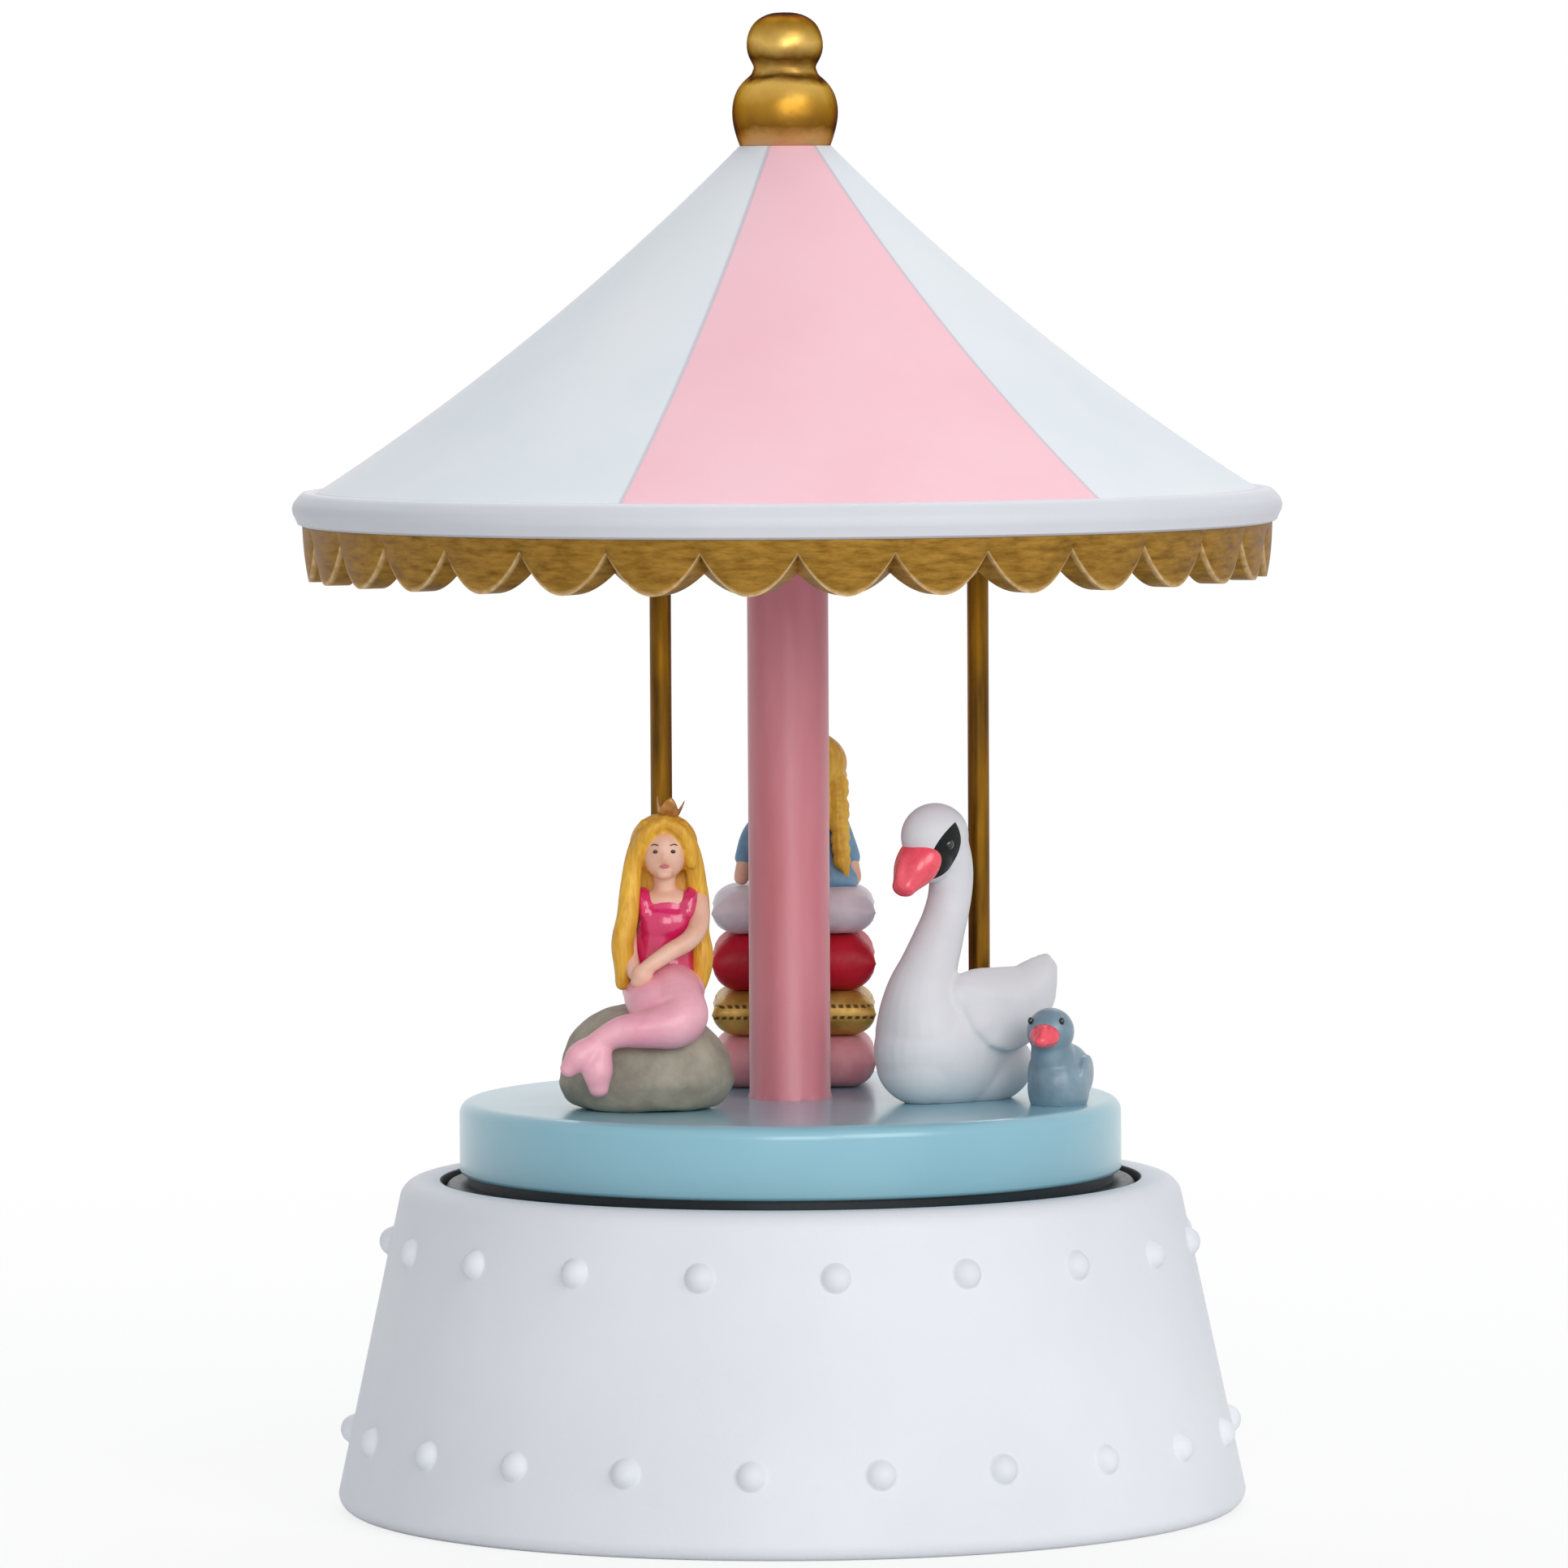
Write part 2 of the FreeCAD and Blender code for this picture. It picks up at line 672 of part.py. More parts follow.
def bedplate():
    body = new_body("bedplate")
    pad(body, "plate", "XY_Plane",
        rounded_plate("bedplate_left", "bedplate_right", "bedplate_front", "bedplate_back",
                      "bedplate_corner"),
        "bedplate_thickness", "bedplate_height")
    upright(body, "comb_seat", "comb_right - comb_left", "comb_depth - comb_seat_setback",
            "comb_bottom - bedplate_top", ("comb_left", "comb_back", "bedplate_top"))
    rise = "cylinder_axis_height + post_head - bedplate_top"
    upright(body, "left_bearing", "post_thickness", "2 * post_head", rise,
            ("left_post", "0 - post_head", "bedplate_top"))
    upright(body, "right_bearing", "post_thickness", "governor_y + 2 * post_head", rise,
            ("right_post", "0 - post_head", "bedplate_top"))
    upright(body, "outer_bearing", "post_thickness", "2 * outer_post_head",
            "cylinder_axis_height + outer_post_head - bedplate_top",
            ("outer_post", "governor_y - outer_post_head", "bedplate_top"))
    axis = "cylinder_axis_height"
    bore(body, "cylinder_bore", "cylinder_arbor_radius + running_fit", "wheel_place - left_post",
         ("left_post", "0", axis), ALONG_X)
    bore(body, "governor_bore", "governor_arbor_radius + running_fit",
         "outer_post + post_thickness - right_post", ("right_post", "governor_y", axis), ALONG_X)
    bore(body, "arbor_bore", "arbor_radius + running_fit", "bedplate_thickness",
         ("0", "0", "bedplate_height"))
    bore(body, "worm_pivot_bore", "pivot_radius + running_fit", "pivot_length",
         ("worm_x", "worm_y", "bedplate_top - pivot_length"))
    bore(body, "bracket_pilot", "bracket_screw_radius + thread_play", "bedplate_thickness",
         ("worm_x", "bracket_screw_y", "bedplate_height"))
    for index, (x, y) in enumerate(BEDPLATE_POSTS):
        bore(body, "bedplate_hole_%d" % index, "bedplate_screw_radius + thread_play", "bedplate_thickness",
             (x, y, "bedplate_height"))
    for index, x in enumerate(COMB_SCREWS):
        bore(body, "comb_pilot_%d" % index, "comb_screw_radius + thread_play", "comb_screw_length",
             (x, "comb_screw_y", "comb_bottom - comb_screw_length"))
    node("bedplate", body)
    node("bedplate_screws", group("bedplate_screw_set", *[
        screw("bedplate_screw_%d" % index, "bedplate_screw_radius",
              "bedplate_thickness + bedplate_screw_length - screw_tip_gap", (x, y, "bedplate_height"))
        for index, (x, y) in enumerate(BEDPLATE_POSTS)]))


def comb():
    body = new_body("comb")
    pad(body, "comb_blank", "XY_Plane",
        [("comb_left", "comb_back"), ("comb_right", "comb_back"), ("comb_right", "comb_tip"),
         ("comb_left", "comb_tip")],
        "comb_thickness", "comb_bottom")
    slot_left = "first_note + (note_spacing - comb_slot) / 2"
    slot_right = "first_note + (note_spacing + comb_slot) / 2"
    slot = pocket(body, "tine_slot", "XY_Plane",
                  [(slot_left, "comb_heel"), (slot_right, "comb_heel"), (slot_right, "comb_tip + comb_slot"),
                   (slot_left, "comb_tip + comb_slot")],
                  "comb_thickness", "cylinder_axis_height")
    slots = body.newObject("PartDesign::LinearPattern", "tine_slots")
    slots.Originals = [slot]
    slots.Direction = (next(axis for axis in body.Origin.OriginFeatures if axis.Role == "X_Axis"), [""])
    bind(slots, Length="note_spacing * (note_count - 2)", Occurrences="note_count - 1")
    body.Tip = slots
    for index, x in enumerate(COMB_SCREWS):
        bore(body, "comb_hole_%d" % index, "comb_screw_radius + thread_play", "comb_thickness",
             (x, "comb_screw_y", "comb_bottom"))
    node("tuned_comb", body)
    node("comb_screws", group("comb_screw_set", *[
        screw("comb_screw_%d" % index, "comb_screw_radius",
              "comb_thickness + comb_screw_length - screw_tip_gap",
              (x, "comb_screw_y", "cylinder_axis_height"), downward=True)
        for index, x in enumerate(COMB_SCREWS)]))


def governor_bracket():
    body = new_body("governor_bracket")
    thick, foot_top = "bracket_thickness", "bedplate_top + bracket_thickness"
    pad(body, "bracket_strip", "YZ_Plane", [
        ("bracket_foot", "bedplate_top"),
        ("bracket_back + " + thick, "bedplate_top"),
        ("bracket_back + " + thick, "bracket_arm + " + thick),
        ("worm_y - bracket_width / 2", "bracket_arm + " + thick),
        ("worm_y - bracket_width / 2", "bracket_arm"),
        ("bracket_back", "bracket_arm"),
        ("bracket_back", foot_top),
        ("bracket_foot", foot_top),
    ], "bracket_width", "worm_x - bracket_width / 2")
    bore(body, "worm_top_bore", "pivot_radius + running_fit", thick, ("worm_x", "worm_y", "bracket_arm"))
    bore(body, "bracket_hole", "bracket_screw_radius + thread_play", thick,
         ("worm_x", "bracket_screw_y", "bedplate_top"))
    node("governor_bracket", body)
    node("bracket_screw", screw("governor_screw", "bracket_screw_radius",
                                "bracket_thickness + bedplate_thickness - screw_tip_gap",
                                ("worm_x", "bracket_screw_y", foot_top), downward=True))


def click():
    inner = "0 - ratchet_radius - click_play"
    leaf = block("click_leaf", "click_leaf_thickness", "click_length", "ratchet_thickness",
                 (inner + " - click_leaf_thickness", "0 - click_width / 2", "ratchet_bottom"))
    anchor = block("click_foot", "click_width", "click_anchor", "barrel_foot_gap + ratchet_thickness",
                   (inner + " - click_leaf_thickness - click_width",
                    "click_length - click_width / 2 - click_anchor", "bedplate_top"))
    node("ratchet_click", fuse("click", leaf, anchor))


# winding key, arbor and ratchet

def winding_key():
    body = new_body("winding_key")
    half, low, lobe = "key_span / 2", "key_floor_gap", "key_wing_height / 2"
    high, middle = "key_floor_gap + key_wing_height", "key_floor_gap + key_wing_height / 2"
    waist_low, waist_high = "key_floor_gap + key_waist", "key_floor_gap + key_wing_height - key_waist"
    bend = "0 - key_wing_height / 2"
    pad(body, "key_wings", "XZ_Plane", [
        ("0", waist_low),
        ("%s - %s" % (half, lobe), low),
        (half, middle, bend),
        ("%s - %s" % (half, lobe), high, bend),
        ("0", waist_high),
        ("%s - %s" % (lobe, half), high),
        ("0 - " + half, middle, bend),
        ("%s - %s" % (lobe, half), low, bend),
    ], "key_wing_thickness", "0 - key_wing_thickness / 2")
    for name, x in (("right", "%s - %s" % (half, lobe)), ("left", "%s - %s" % (lobe, half))):
        bore(body, name + "_eye", "key_eye_radius", "2 * key_wing_thickness",
             (x, "0 - key_wing_thickness", middle), ALONG_Y)
    post(body, "key_hub", "key_hub_radius", "bedplate_height - key_hub_gap - key_floor_gap - key_waist",
         ("0", "0", waist_low))
    foot = ("0", "0", "arbor_bottom")
    bore(body, "key_socket", "arbor_radius + thread_play", "bedplate_height - arbor_bottom", foot)
    node("winding_key", body)
    reach = "barrel_top_height - lid_spigot - arbor_end_gap - arbor_bottom"
    node("winding_arbor", cylinder("arbor", "arbor_radius", reach, foot))


def ratchet_wheel():
    body = new_body("ratchet_wheel")
    root = "ratchet_radius - ratchet_tooth_depth"
    post(body, "ratchet_disc", root, "ratchet_thickness", ("0", "0", "ratchet_bottom"))
    tooth = pad(body, "ratchet_tooth", "XY_Plane",
                [("%s - ratchet_tooth_depth" % root, "0"), ("ratchet_radius", "0"),
                 ("%s - ratchet_tooth_depth" % root, "ratchet_tooth_width")],
                "ratchet_thickness", "ratchet_bottom")
    around(body, "ratchet_toothing", tooth, "ratchet_teeth")
    bore(body, "ratchet_bore", "arbor_radius + thread_play", "ratchet_thickness",
         ("0", "0", "ratchet_bottom"))
    node("ratchet_wheel", body)


# gears

def tooth_halves(module):
    """Half widths of a tooth at its foot and at its crest."""
    half = "(pi * %s / 4 - gear_backlash / 2)" % module
    return "tooth_foot_share * " + half, "tooth_crest_share * " + half


def gear(name, teeth, module, face, shaft, at, first_tooth, lean="0"):
    """A gear on an axis along X; its first tooth stands first_tooth degrees round from straight down.

    lean is the sideways run of a tooth for each millimetre of face, as on a worm wheel.
    """
    body = new_body(name)
    root = "%s * %s / 2 - tooth_root_share * %s" % (teeth, module, module)
    tip = "%s * %s / 2 + tooth_tip_share * %s" % (teeth, module, module)
    wide, narrow = tooth_halves(module)
    start = "(%s) * %s / 2" % (lean, face)
    sunk = "%s - tooth_sink_share * %s" % (root, module)
    post(body, name + "_disc", root, face, ("0", "0", "0"))
    tooth = pad(body, name + "_tooth", "XY_Plane",
                [(sunk, "0 - %s - %s" % (wide, start)), (tip, "0 - %s - %s" % (narrow, start)),
                 (tip, "%s - %s" % (narrow, start)), (sunk, "%s - %s" % (wide, start))], face)
    tooth.UseCustomVector = True
    tooth.Direction = Vector(0, number(lean), 1)
    tooth.AlongSketchNormal = True
    around(body, name + "_toothing", tooth, teeth)
    bore(body, name + "_bore", shaft + " + thread_play", face, ("0", "0", "0"))
    place(body, at, ALONG_X.multiply(Rotation(Vector(0, 0, 1), first_tooth)))
    return node(name, body)


# carousel drive: barrel, lid, mainspring and spindle

def spring_barrel():
    body = new_body("spring_barrel")
    shaft, floor_top = "arbor_radius + running_fit", "barrel_bottom + barrel_floor"
    revolve(body, "barrel_cup", [
        (shaft, "barrel_bottom"),
        ("crown_outer", "barrel_bottom"),
        ("crown_outer", "crown_root"),
        ("barrel_radius", "crown_root"),
        ("barrel_radius", "barrel_top_height"),
        ("barrel_radius - barrel_wall", "barrel_top_height"),
        ("barrel_radius - barrel_wall", floor_top),
        (shaft, floor_top),
    ])
    low = "crown_root - tooth_sink_share * crown_module"
    wide, narrow = tooth_halves("crown_module")
    tooth = pad(body, "crown_tooth", "YZ_Plane",
                [("0 - " + wide, low), (wide, low), (narrow, "crown_tip"), ("0 - " + narrow, "crown_tip")],
                "crown_face", "crown_inner")
    around(body, "crown_toothing", tooth, "crown_teeth")
    node("spring_barrel", body)
    lid = new_body("barrel_lid")
    spigot = "barrel_radius - barrel_wall - thread_play"
    revolve(lid, "lid_disc", [
        ("0", "barrel_top_height - lid_spigot"),
        (spigot, "barrel_top_height - lid_spigot"),
        (spigot, "barrel_top_height"),
        ("barrel_radius", "barrel_top_height"),
        ("barrel_radius", "lid_top"),
        ("0", "lid_top"),
    ])
    node("barrel_lid", lid)


def mainspring():
    """A flat strip wound in half circles whose centres take turns."""
    strip, turns = number("spring_strip"), int(number("spring_turns"))
    inner = number("spring_inner_radius")
    outer = number("barrel_radius - barrel_wall - spring_wall_gap")
    step = (outer - inner - strip) / (2 * turns)
    low = number("barrel_bottom + barrel_floor")
    high = number("barrel_top_height - lid_spigot - spring_end_play")
    edges = []
    for side in (0.0, strip):
        arcs = []
        for half_turn in range(2 * turns):
            centre = Vector(step * (half_turn % 2), 0, low)
            radius = inner + side + step * half_turn
            start = math.pi * (half_turn % 2)
            points = [centre + Vector(math.cos(angle), math.sin(angle), 0) * radius
                      for angle in (start, start + math.pi / 2, start + math.pi)]
            arcs.append(Part.Arc(*points).toShape())
        edges.append(arcs)
    ends = []
    for index in (0, -1):
        corners = [side[index].Vertexes[index].Point for side in edges]
        ends.append(Part.LineSegment(*corners).toShape())
    face = Part.Face(Part.Wire(Part.__sortEdges__(edges[0] + edges[1] + ends)))
    node("mainspring", solid("mainspring", face.extrude(Vector(0, 0, high - low))))


def output_spindle():
    body = new_body("output_spindle")
    flange_top = "lid_top + spindle_flange_thickness"
    stud_top = "turntable_bottom + nut_thickness + stud_end"
    revolve(body, "spindle", [
        ("0", "lid_top"),
        ("spindle_flange_radius", "lid_top"),
        ("spindle_flange_radius", flange_top),
        ("spindle_radius", flange_top),
        ("spindle_radius", "plate_bottom - spindle_collar_length"),
        ("spindle_collar_radius", "plate_bottom - spindle_collar_length"),
        ("spindle_collar_radius", "plate_bottom"),
        ("stud_radius", "plate_bottom"),
        ("stud_radius", stud_top),
        ("0", stud_top),
    ])
    node("output_spindle", body)
    prism = bind(add("Prism", "nut_prism"), Circumradius="nut_width / 2 / cos(30)", Height="nut_thickness")
    prism.Polygon = 6
    place(prism, ("0", "0", "turntable_bottom"))
    hole = cylinder("nut_bore", "stud_radius + thread_play", "nut_thickness", ("0", "0", "turntable_bottom"))
    node("spindle_nut", cut("nut", prism, hole))


# pinned cylinder and governor

def pinned_cylinder():
    axis = ("cylinder_start", "0", "cylinder_axis_height")
    drum = cylinder("drum_skin", "cylinder_radius", "cylinder_length", axis, ALONG_X)
    hollow = cylinder("drum_hollow", "cylinder_radius - drum_wall", "cylinder_length - 2 * drum_end",
                      ("cylinder_start + drum_end", "0", "cylinder_axis_height"), ALONG_X)
    shaft = cylinder("drum_bore", "cylinder_arbor_radius + thread_play", "cylinder_length", axis, ALONG_X)
    radius, sink = number("cylinder_radius"), number("drum_wall / 2")
    fewest, variety = int(number("fewest_pins")), int(number("pin_variety"))
    pins = []
    for note in range(int(number("note_count"))):
        foot = Vector(number("first_note + note_spacing * %d" % note), 0, number("cylinder_axis_height"))
        for beat in range(fewest + note % variety):
            angle = math.radians(number("note_turn * %d + pin_turn * %d" % (note, beat)))
            outward = Vector(0, math.cos(angle), math.sin(angle))
            pins.append(Part.makeCylinder(number("pin_radius"), sink + number("pin_height"),
                                          foot + outward * (radius - sink), outward))
    node("pinned_cylinder", fuse("cylinder", cut("drum", drum, hollow, shaft),
                                 solid("cylinder_pins", Part.makeCompound(pins))))
    node("cylinder_arbor", cylinder("cylinder_shaft", "cylinder_arbor_radius",
                                    "wheel_place + wheel_face + 2 * gear_overhang - crown_inner",
                                    ("crown_inner - gear_overhang", "0", "cylinder_axis_height"), ALONG_X))
    gear("cylinder_pinion", "pinion_teeth", "crown_module", "(crown_face + gear_overhang)",
         "cylinder_arbor_radius", ("crown_inner - gear_overhang / 2", "0", "cylinder_axis_height"),
         number("180 / pinion_teeth"))
    gear("cylinder_wheel", "wheel_teeth", "wheel_module", "wheel_face", "cylinder_arbor_radius",
         ("wheel_place", "0", "cylinder_axis_height"), number("90 - 180 / wheel_teeth"))


def governor():
    axis = ("governor_y", "cylinder_axis_height")
    node("governor_arbor", cylinder("governor_shaft", "governor_arbor_radius",
                                    "outer_post + post_thickness - right_post",
                                    ("right_post",) + axis, ALONG_X))
    gear("governor_pinion", "governor_pinion_teeth", "wheel_module", "wheel_face", "governor_arbor_radius",
         ("wheel_place",) + axis, 270)
    gear("worm_wheel", "worm_wheel_teeth", "worm_module", "wheel_face", "governor_arbor_radius",
         ("worm_wheel_place",) + axis, 90, "worm_starts * worm_module / 2 / worm_radius")
    body = new_body("worm_shaft")
    core = "worm_radius - tooth_root_share * worm_module"
    tip = "worm_radius + tooth_tip_share * worm_module"
    sunk = core + " - tooth_sink_share * worm_module"
    lead = "pi * worm_module * worm_starts"
    start = "cylinder_axis_height - worm_turns * %s / 2" % lead
    wide, narrow = tooth_halves("worm_module")
    post(body, "worm_core", core, "fan_bottom + fan_height - bedplate_top - pivot_length / 2",
         ("0", "0", "bedplate_top + pivot_length / 2"))
    post(body, "worm_pivots", "pivot_radius",
         "bracket_arm + bracket_thickness - bedplate_top + pivot_length - pivot_end_gap",
         ("0", "0", "bedplate_top - pivot_length + pivot_end_gap"))
    thread = body.newObject("PartDesign::AdditiveHelix", "worm_thread")
    profile = outline(body, "worm_thread_outline", "XZ_Plane", [
        (sunk, "%s - %s" % (start, wide)), (tip, "%s - %s" % (start, narrow)),
        (tip, "%s + %s" % (start, narrow)), (sunk, "%s + %s" % (start, wide))])
    thread.Profile = profile
    thread.ReferenceAxis = (profile, ["V_Axis"])
    thread.Mode = 0
    bind(thread, Pitch=lead, Height="worm_turns * " + lead)
    around(body, "worm_threads", thread, "worm_starts")
    place(body, ("worm_x", "worm_y", "0"))
    node("worm_shaft", body)
    hub = cylinder("fan_hub", "fan_hub_radius", "fan_height", ("worm_x", "worm_y", "fan_bottom"))
    vanes = block("fan_vanes", "2 * fan_radius", "fan_thickness", "fan_height",
                  ("worm_x - fan_radius", "worm_y - fan_thickness / 2", "fan_bottom"))
    hole = cylinder("fan_bore", core + " + thread_play", "fan_height", ("worm_x", "worm_y", "fan_bottom"))
    node("governor_fan", cut("fan", fuse("fan_blank", hub, vanes), hole))


# turntable, pole and rods

def rod_place(rod):
    return "%s_rod_x" % rod, "%s_rod_y" % rod


def drive_plate():
    body = new_body("drive_plate")
    edge, shaft = "well_radius - well_play", "stud_radius + thread_play"
    revolve(body, "plate_disc", [
        (shaft, "plate_bottom"),
        (edge, "plate_bottom"),
        (edge, "plate_step_bottom"),
        ("plate_step_radius", "plate_step_bottom"),
        ("plate_step_radius", "turntable_bottom"),
        (shaft, "turntable_bottom"),
    ])
    screws = []
    for index, angle in enumerate(TURNTABLE_SCREW_ANGLES):
        x, y = polar("turntable_screw_circle", angle)
        bore(body, "plate_hole_%d" % index, "turntable_screw_radius + thread_play",
             "turntable_bottom - plate_bottom", (x, y, "plate_bottom"))
        bore(body, "plate_recess_%d" % index, "turntable_screw_radius * screw_head_share + screw_sink",
             "screw_recess", (x, y, "plate_bottom"))
        screws.append(screw("turntable_screw_%d" % index, "turntable_screw_radius", "turntable_screw_length",
                            (x, y, "plate_bottom + screw_recess")))
    node("drive_plate", body)
    node("turntable_screws", group("turntable_screw_set", *screws))


def turntable():
    body = new_body("turntable")
    pocket_top = "turntable_bottom + nut_thickness + stud_end + screw_tip_gap / 2"
    socket, socket_floor = "spigot_radius + glue_gap", "turntable_top - spigot_length - glue_gap"
    low, high = "turntable_bottom_round", "turntable_top_round"
    revolve(body, "turntable_disc", [
        ("nut_pocket_radius", "turntable_bottom"),
        ("turntable_radius - " + low, "turntable_bottom"),
        ("turntable_radius", "turntable_bottom + " + low, "0 - " + low),
        ("turntable_radius", "turntable_top - " + high),
        ("turntable_radius - " + high, "turntable_top", "0 - " + high),
        (socket, "turntable_top"),
        (socket, socket_floor),
        ("0", socket_floor),
        ("0", pocket_top),
        ("nut_pocket_radius", pocket_top),
    ])
    for rod in RODS:
        x, y = rod_place(rod)
        bore(body, rod + "_rod_hole", "rod_radius + glue_gap", "rod_seat_depth", (x, y, "rod_bottom"))
    for index, angle in enumerate(TURNTABLE_SCREW_ANGLES):
        x, y = polar("turntable_screw_circle", angle)
        bore(body, "turntable_pilot_%d" % index, "turntable_screw_radius + thread_play",
             "plate_bottom + screw_recess + turntable_screw_length + screw_tip_gap - turntable_bottom",
             (x, y, "turntable_bottom"))
    node("turntable", body)


def pole_and_rods():
    body = new_body("center_pole")
    foot, top = "turntable_top - spigot_length", "roof_boss_height + roof_spigot_length"
    revolve(body, "pole", [
        ("0", foot),
        ("spigot_radius", foot),
        ("spigot_radius", "turntable_top"),
        ("pole_radius", "turntable_top"),
        ("pole_radius", "roof_boss_height"),
        ("spigot_radius", "roof_boss_height"),
        ("spigot_radius", top),
        ("0", top),
    ])
    node("center_pole", body)
    for rod in RODS:
        x, y = rod_place(rod)
        brass = cylinder(rod + "_brass", "rod_radius", "rod_top - rod_bottom", (x, y, "rod_bottom"))
        node(rod + "_rod", brass)


# canopy and finial

def canopy_roof():
    body = new_body("canopy_roof")
    socket, stud = "spigot_radius + glue_gap", "finial_stud_radius + glue_gap"
    socket_top = "roof_boss_height + roof_spigot_length + glue_gap"
    revolve(body, "roof_shell", [
        ("roof_inner_radius", "rim_bottom"),
        ("valance_top_radius", "rim_bottom"),
        ("rim_radius", "rim_bottom + rim_thickness / 2", "0 - rim_bulge * rim_lower_chord"),
        ("roof_edge_radius", "rim_top", "0 - rim_bulge * rim_upper_chord"),
        ("roof_top_radius", "roof_top_height", "roof_sag_radius"),
        (stud, "roof_top_height"),
        (stud, socket_top),
        (socket, socket_top),
        (socket, "roof_boss_height"),
        ("roof_boss_radius", "roof_boss_height"),
        ("roof_boss_radius", "roof_boss_root"),
        ("roof_inner_radius", "rim_top - roof_wall / 2", "0 - roof_sag_radius"),
    ])
    for rod in RODS:
        x, y = rod_place(rod)
        foot = (x, y, "rod_boss_height")
        share = "((sqrt(%s ^ 2 + %s ^ 2) + rod_boss_radius - roof_top_radius) / roof_run)" % (x, y)
        sag = "roof_sag * roof_sag_allowance * %s * (1 - %s)" % (share, share)
        top = "roof_top_height - roof_rise * %s - %s - roof_boss_cover" % (share, sag)
        post(body, rod + "_boss", "rod_boss_radius", top + " - rod_boss_height", foot)
        bore(body, rod + "_socket", "rod_radius + glue_gap", "rod_boss_depth + glue_gap", foot)
    node("canopy_roof", body)


def valance():
    body = new_body("scalloped_valance")
    low, outside = "valance_bottom_height", "valance_top_radius + cut_margin"
    revolve(body, "valance_ring", [
        ("valance_bottom_radius - valance_wall", low),
        ("valance_bottom_radius", low),
        ("valance_top_radius", "rim_bottom"),
        ("valance_top_radius - valance_wall", "rim_bottom"),
    ])
    half = "(pi * valance_bottom_radius / scallop_count - scallop_flat)"
    bend = "0 - ((%s) ^ 2 + scallop_depth ^ 2) / 2 / scallop_depth" % half
    notch = pocket(body, "scallop_notch", "XZ_Plane", [
        ("0", low + " + scallop_depth", bend),
        ("0 - " + half, low, bend),
        ("0 - " + half, low + " - cut_margin"),
        (half, low + " - cut_margin"),
        (half, low),
    ], "valance_wall + 3 * cut_margin", outside)
    around(body, "scallop_notches", notch, "scallop_count")
    relief = pocket(body, "scallop_groove", "XZ_Plane", [
        ("0", low + " + scallop_relief_height"),
        ("0 - scallop_relief_share * " + half, low + " - cut_margin / 2"),
        ("scallop_relief_share * " + half, low + " - cut_margin / 2"),
    ], "cut_margin + scallop_relief", outside)
    around(body, "scallop_grooves", relief, "scallop_count")
    place(body, ("0", "0", "0"), Rotation(Vector(0, 0, 1), number("scallop_turn")))
    node("scalloped_valance", body)


def finial():
    balls = []
    for ball in ("lower", "upper"):
        sphere = bind(add("Sphere", ball + "_ball"), Radius="finial_%s_radius" % ball)
        balls.append(place(sphere, ("0", "0", "finial_%s_height" % ball)))
    width = "2 * finial_lower_radius"
    below = block("finial_foot_cut", "2 * " + width, "2 * " + width, width,
                  ("0 - " + width, "0 - " + width, "roof_top_height - " + width))
    hole = cylinder("finial_bore", "finial_stud_radius + glue_gap", "finial_stud_depth + glue_gap",
                    ("0", "0", "roof_top_height"))
    node("finial", cut("finial_balls", fuse("finial_blank", *balls), below, hole))
    stud_bottom = "roof_boss_height + roof_spigot_length + glue_gap"
    node("finial_stud", cylinder("finial_pin", "finial_stud_radius",
                                 "roof_top_height + finial_stud_depth - (%s)" % stud_bottom,
                                 ("0", "0", stud_bottom)))


# figures: rounded forms fused from swelling limbs and ellipsoids

def ellipsoid(centre, radii, turn=None):
    stretch = FreeCAD.Matrix()
    stretch.scale(*radii)
    form = Part.makeSphere(1.0).transformGeometry(stretch)
    form.Placement = Placement(Vector(*centre), turn or Rotation())
    return form


# how far past a limb's end, and how wide, each closing ring is, as shares of the end's radius
LIMB_ENDS = ((0.6, 0.8), (0.92, 0.4))


def ring(radius, centre, along):
    return Part.Wire(Part.makeCircle(radius, centre, along))


def limb(*stations):
    """A limb through stations (x, y, z, radius), drawn in to a round end past its first and last station."""
    points = [Vector(*station[:3]) for station in stations]
    radii = [station[3] for station in stations]
    first, last = (points[0] - points[1]).normalize(), (points[-1] - points[-2]).normalize()
    rings = []
    for index, (point, radius) in enumerate(zip(points, radii)):
        along = points[min(index + 1, len(points) - 1)] - points[max(index - 1, 0)]
        rings.append(ring(radius, point, along))
    for reach, share in LIMB_ENDS:
        rings.insert(0, ring(share * radii[0], points[0] + first * reach * radii[0], first * -1))
        rings.append(ring(share * radii[-1], points[-1] + last * reach * radii[-1], last))
    return Part.makeLoft(rings, True, False)


def flared(*levels):
    """A smooth form through level ellipses (height, half width, half depth)."""
    rings = []
    for height, wide, deep in levels:
        ellipse = Part.Ellipse(Vector(0, 0, height), max(wide, deep), min(wide, deep))
        if wide < deep:
            ellipse.rotate(Placement(Vector(), Rotation(Vector(0, 0, 1), 90)))
        rings.append(Part.Wire(ellipse.toShape()))
    return Part.makeLoft(rings, True, False)


def figure(name, forms, at, turn, tools=()):
    """Fuse forms made facing -Y, turn and place them, and cut what they stand on or are pierced by."""
    whole = forms[0].multiFuse(forms[1:])
    spot = Vector(*[number(value) for value in at])
    whole.Placement = Placement(spot, Rotation(Vector(0, 0, 1), number(turn)))
    return node(name, cut(name, solid(name + "_form", whole), *tools))


def rod_gap(name, rod):
    """The way of a brass rod through a figure."""
    x, y = rod_place(rod)
    return cylinder(name, "rod_radius + rod_play", "rod_top - rod_bottom", (x, y, "rod_bottom"))


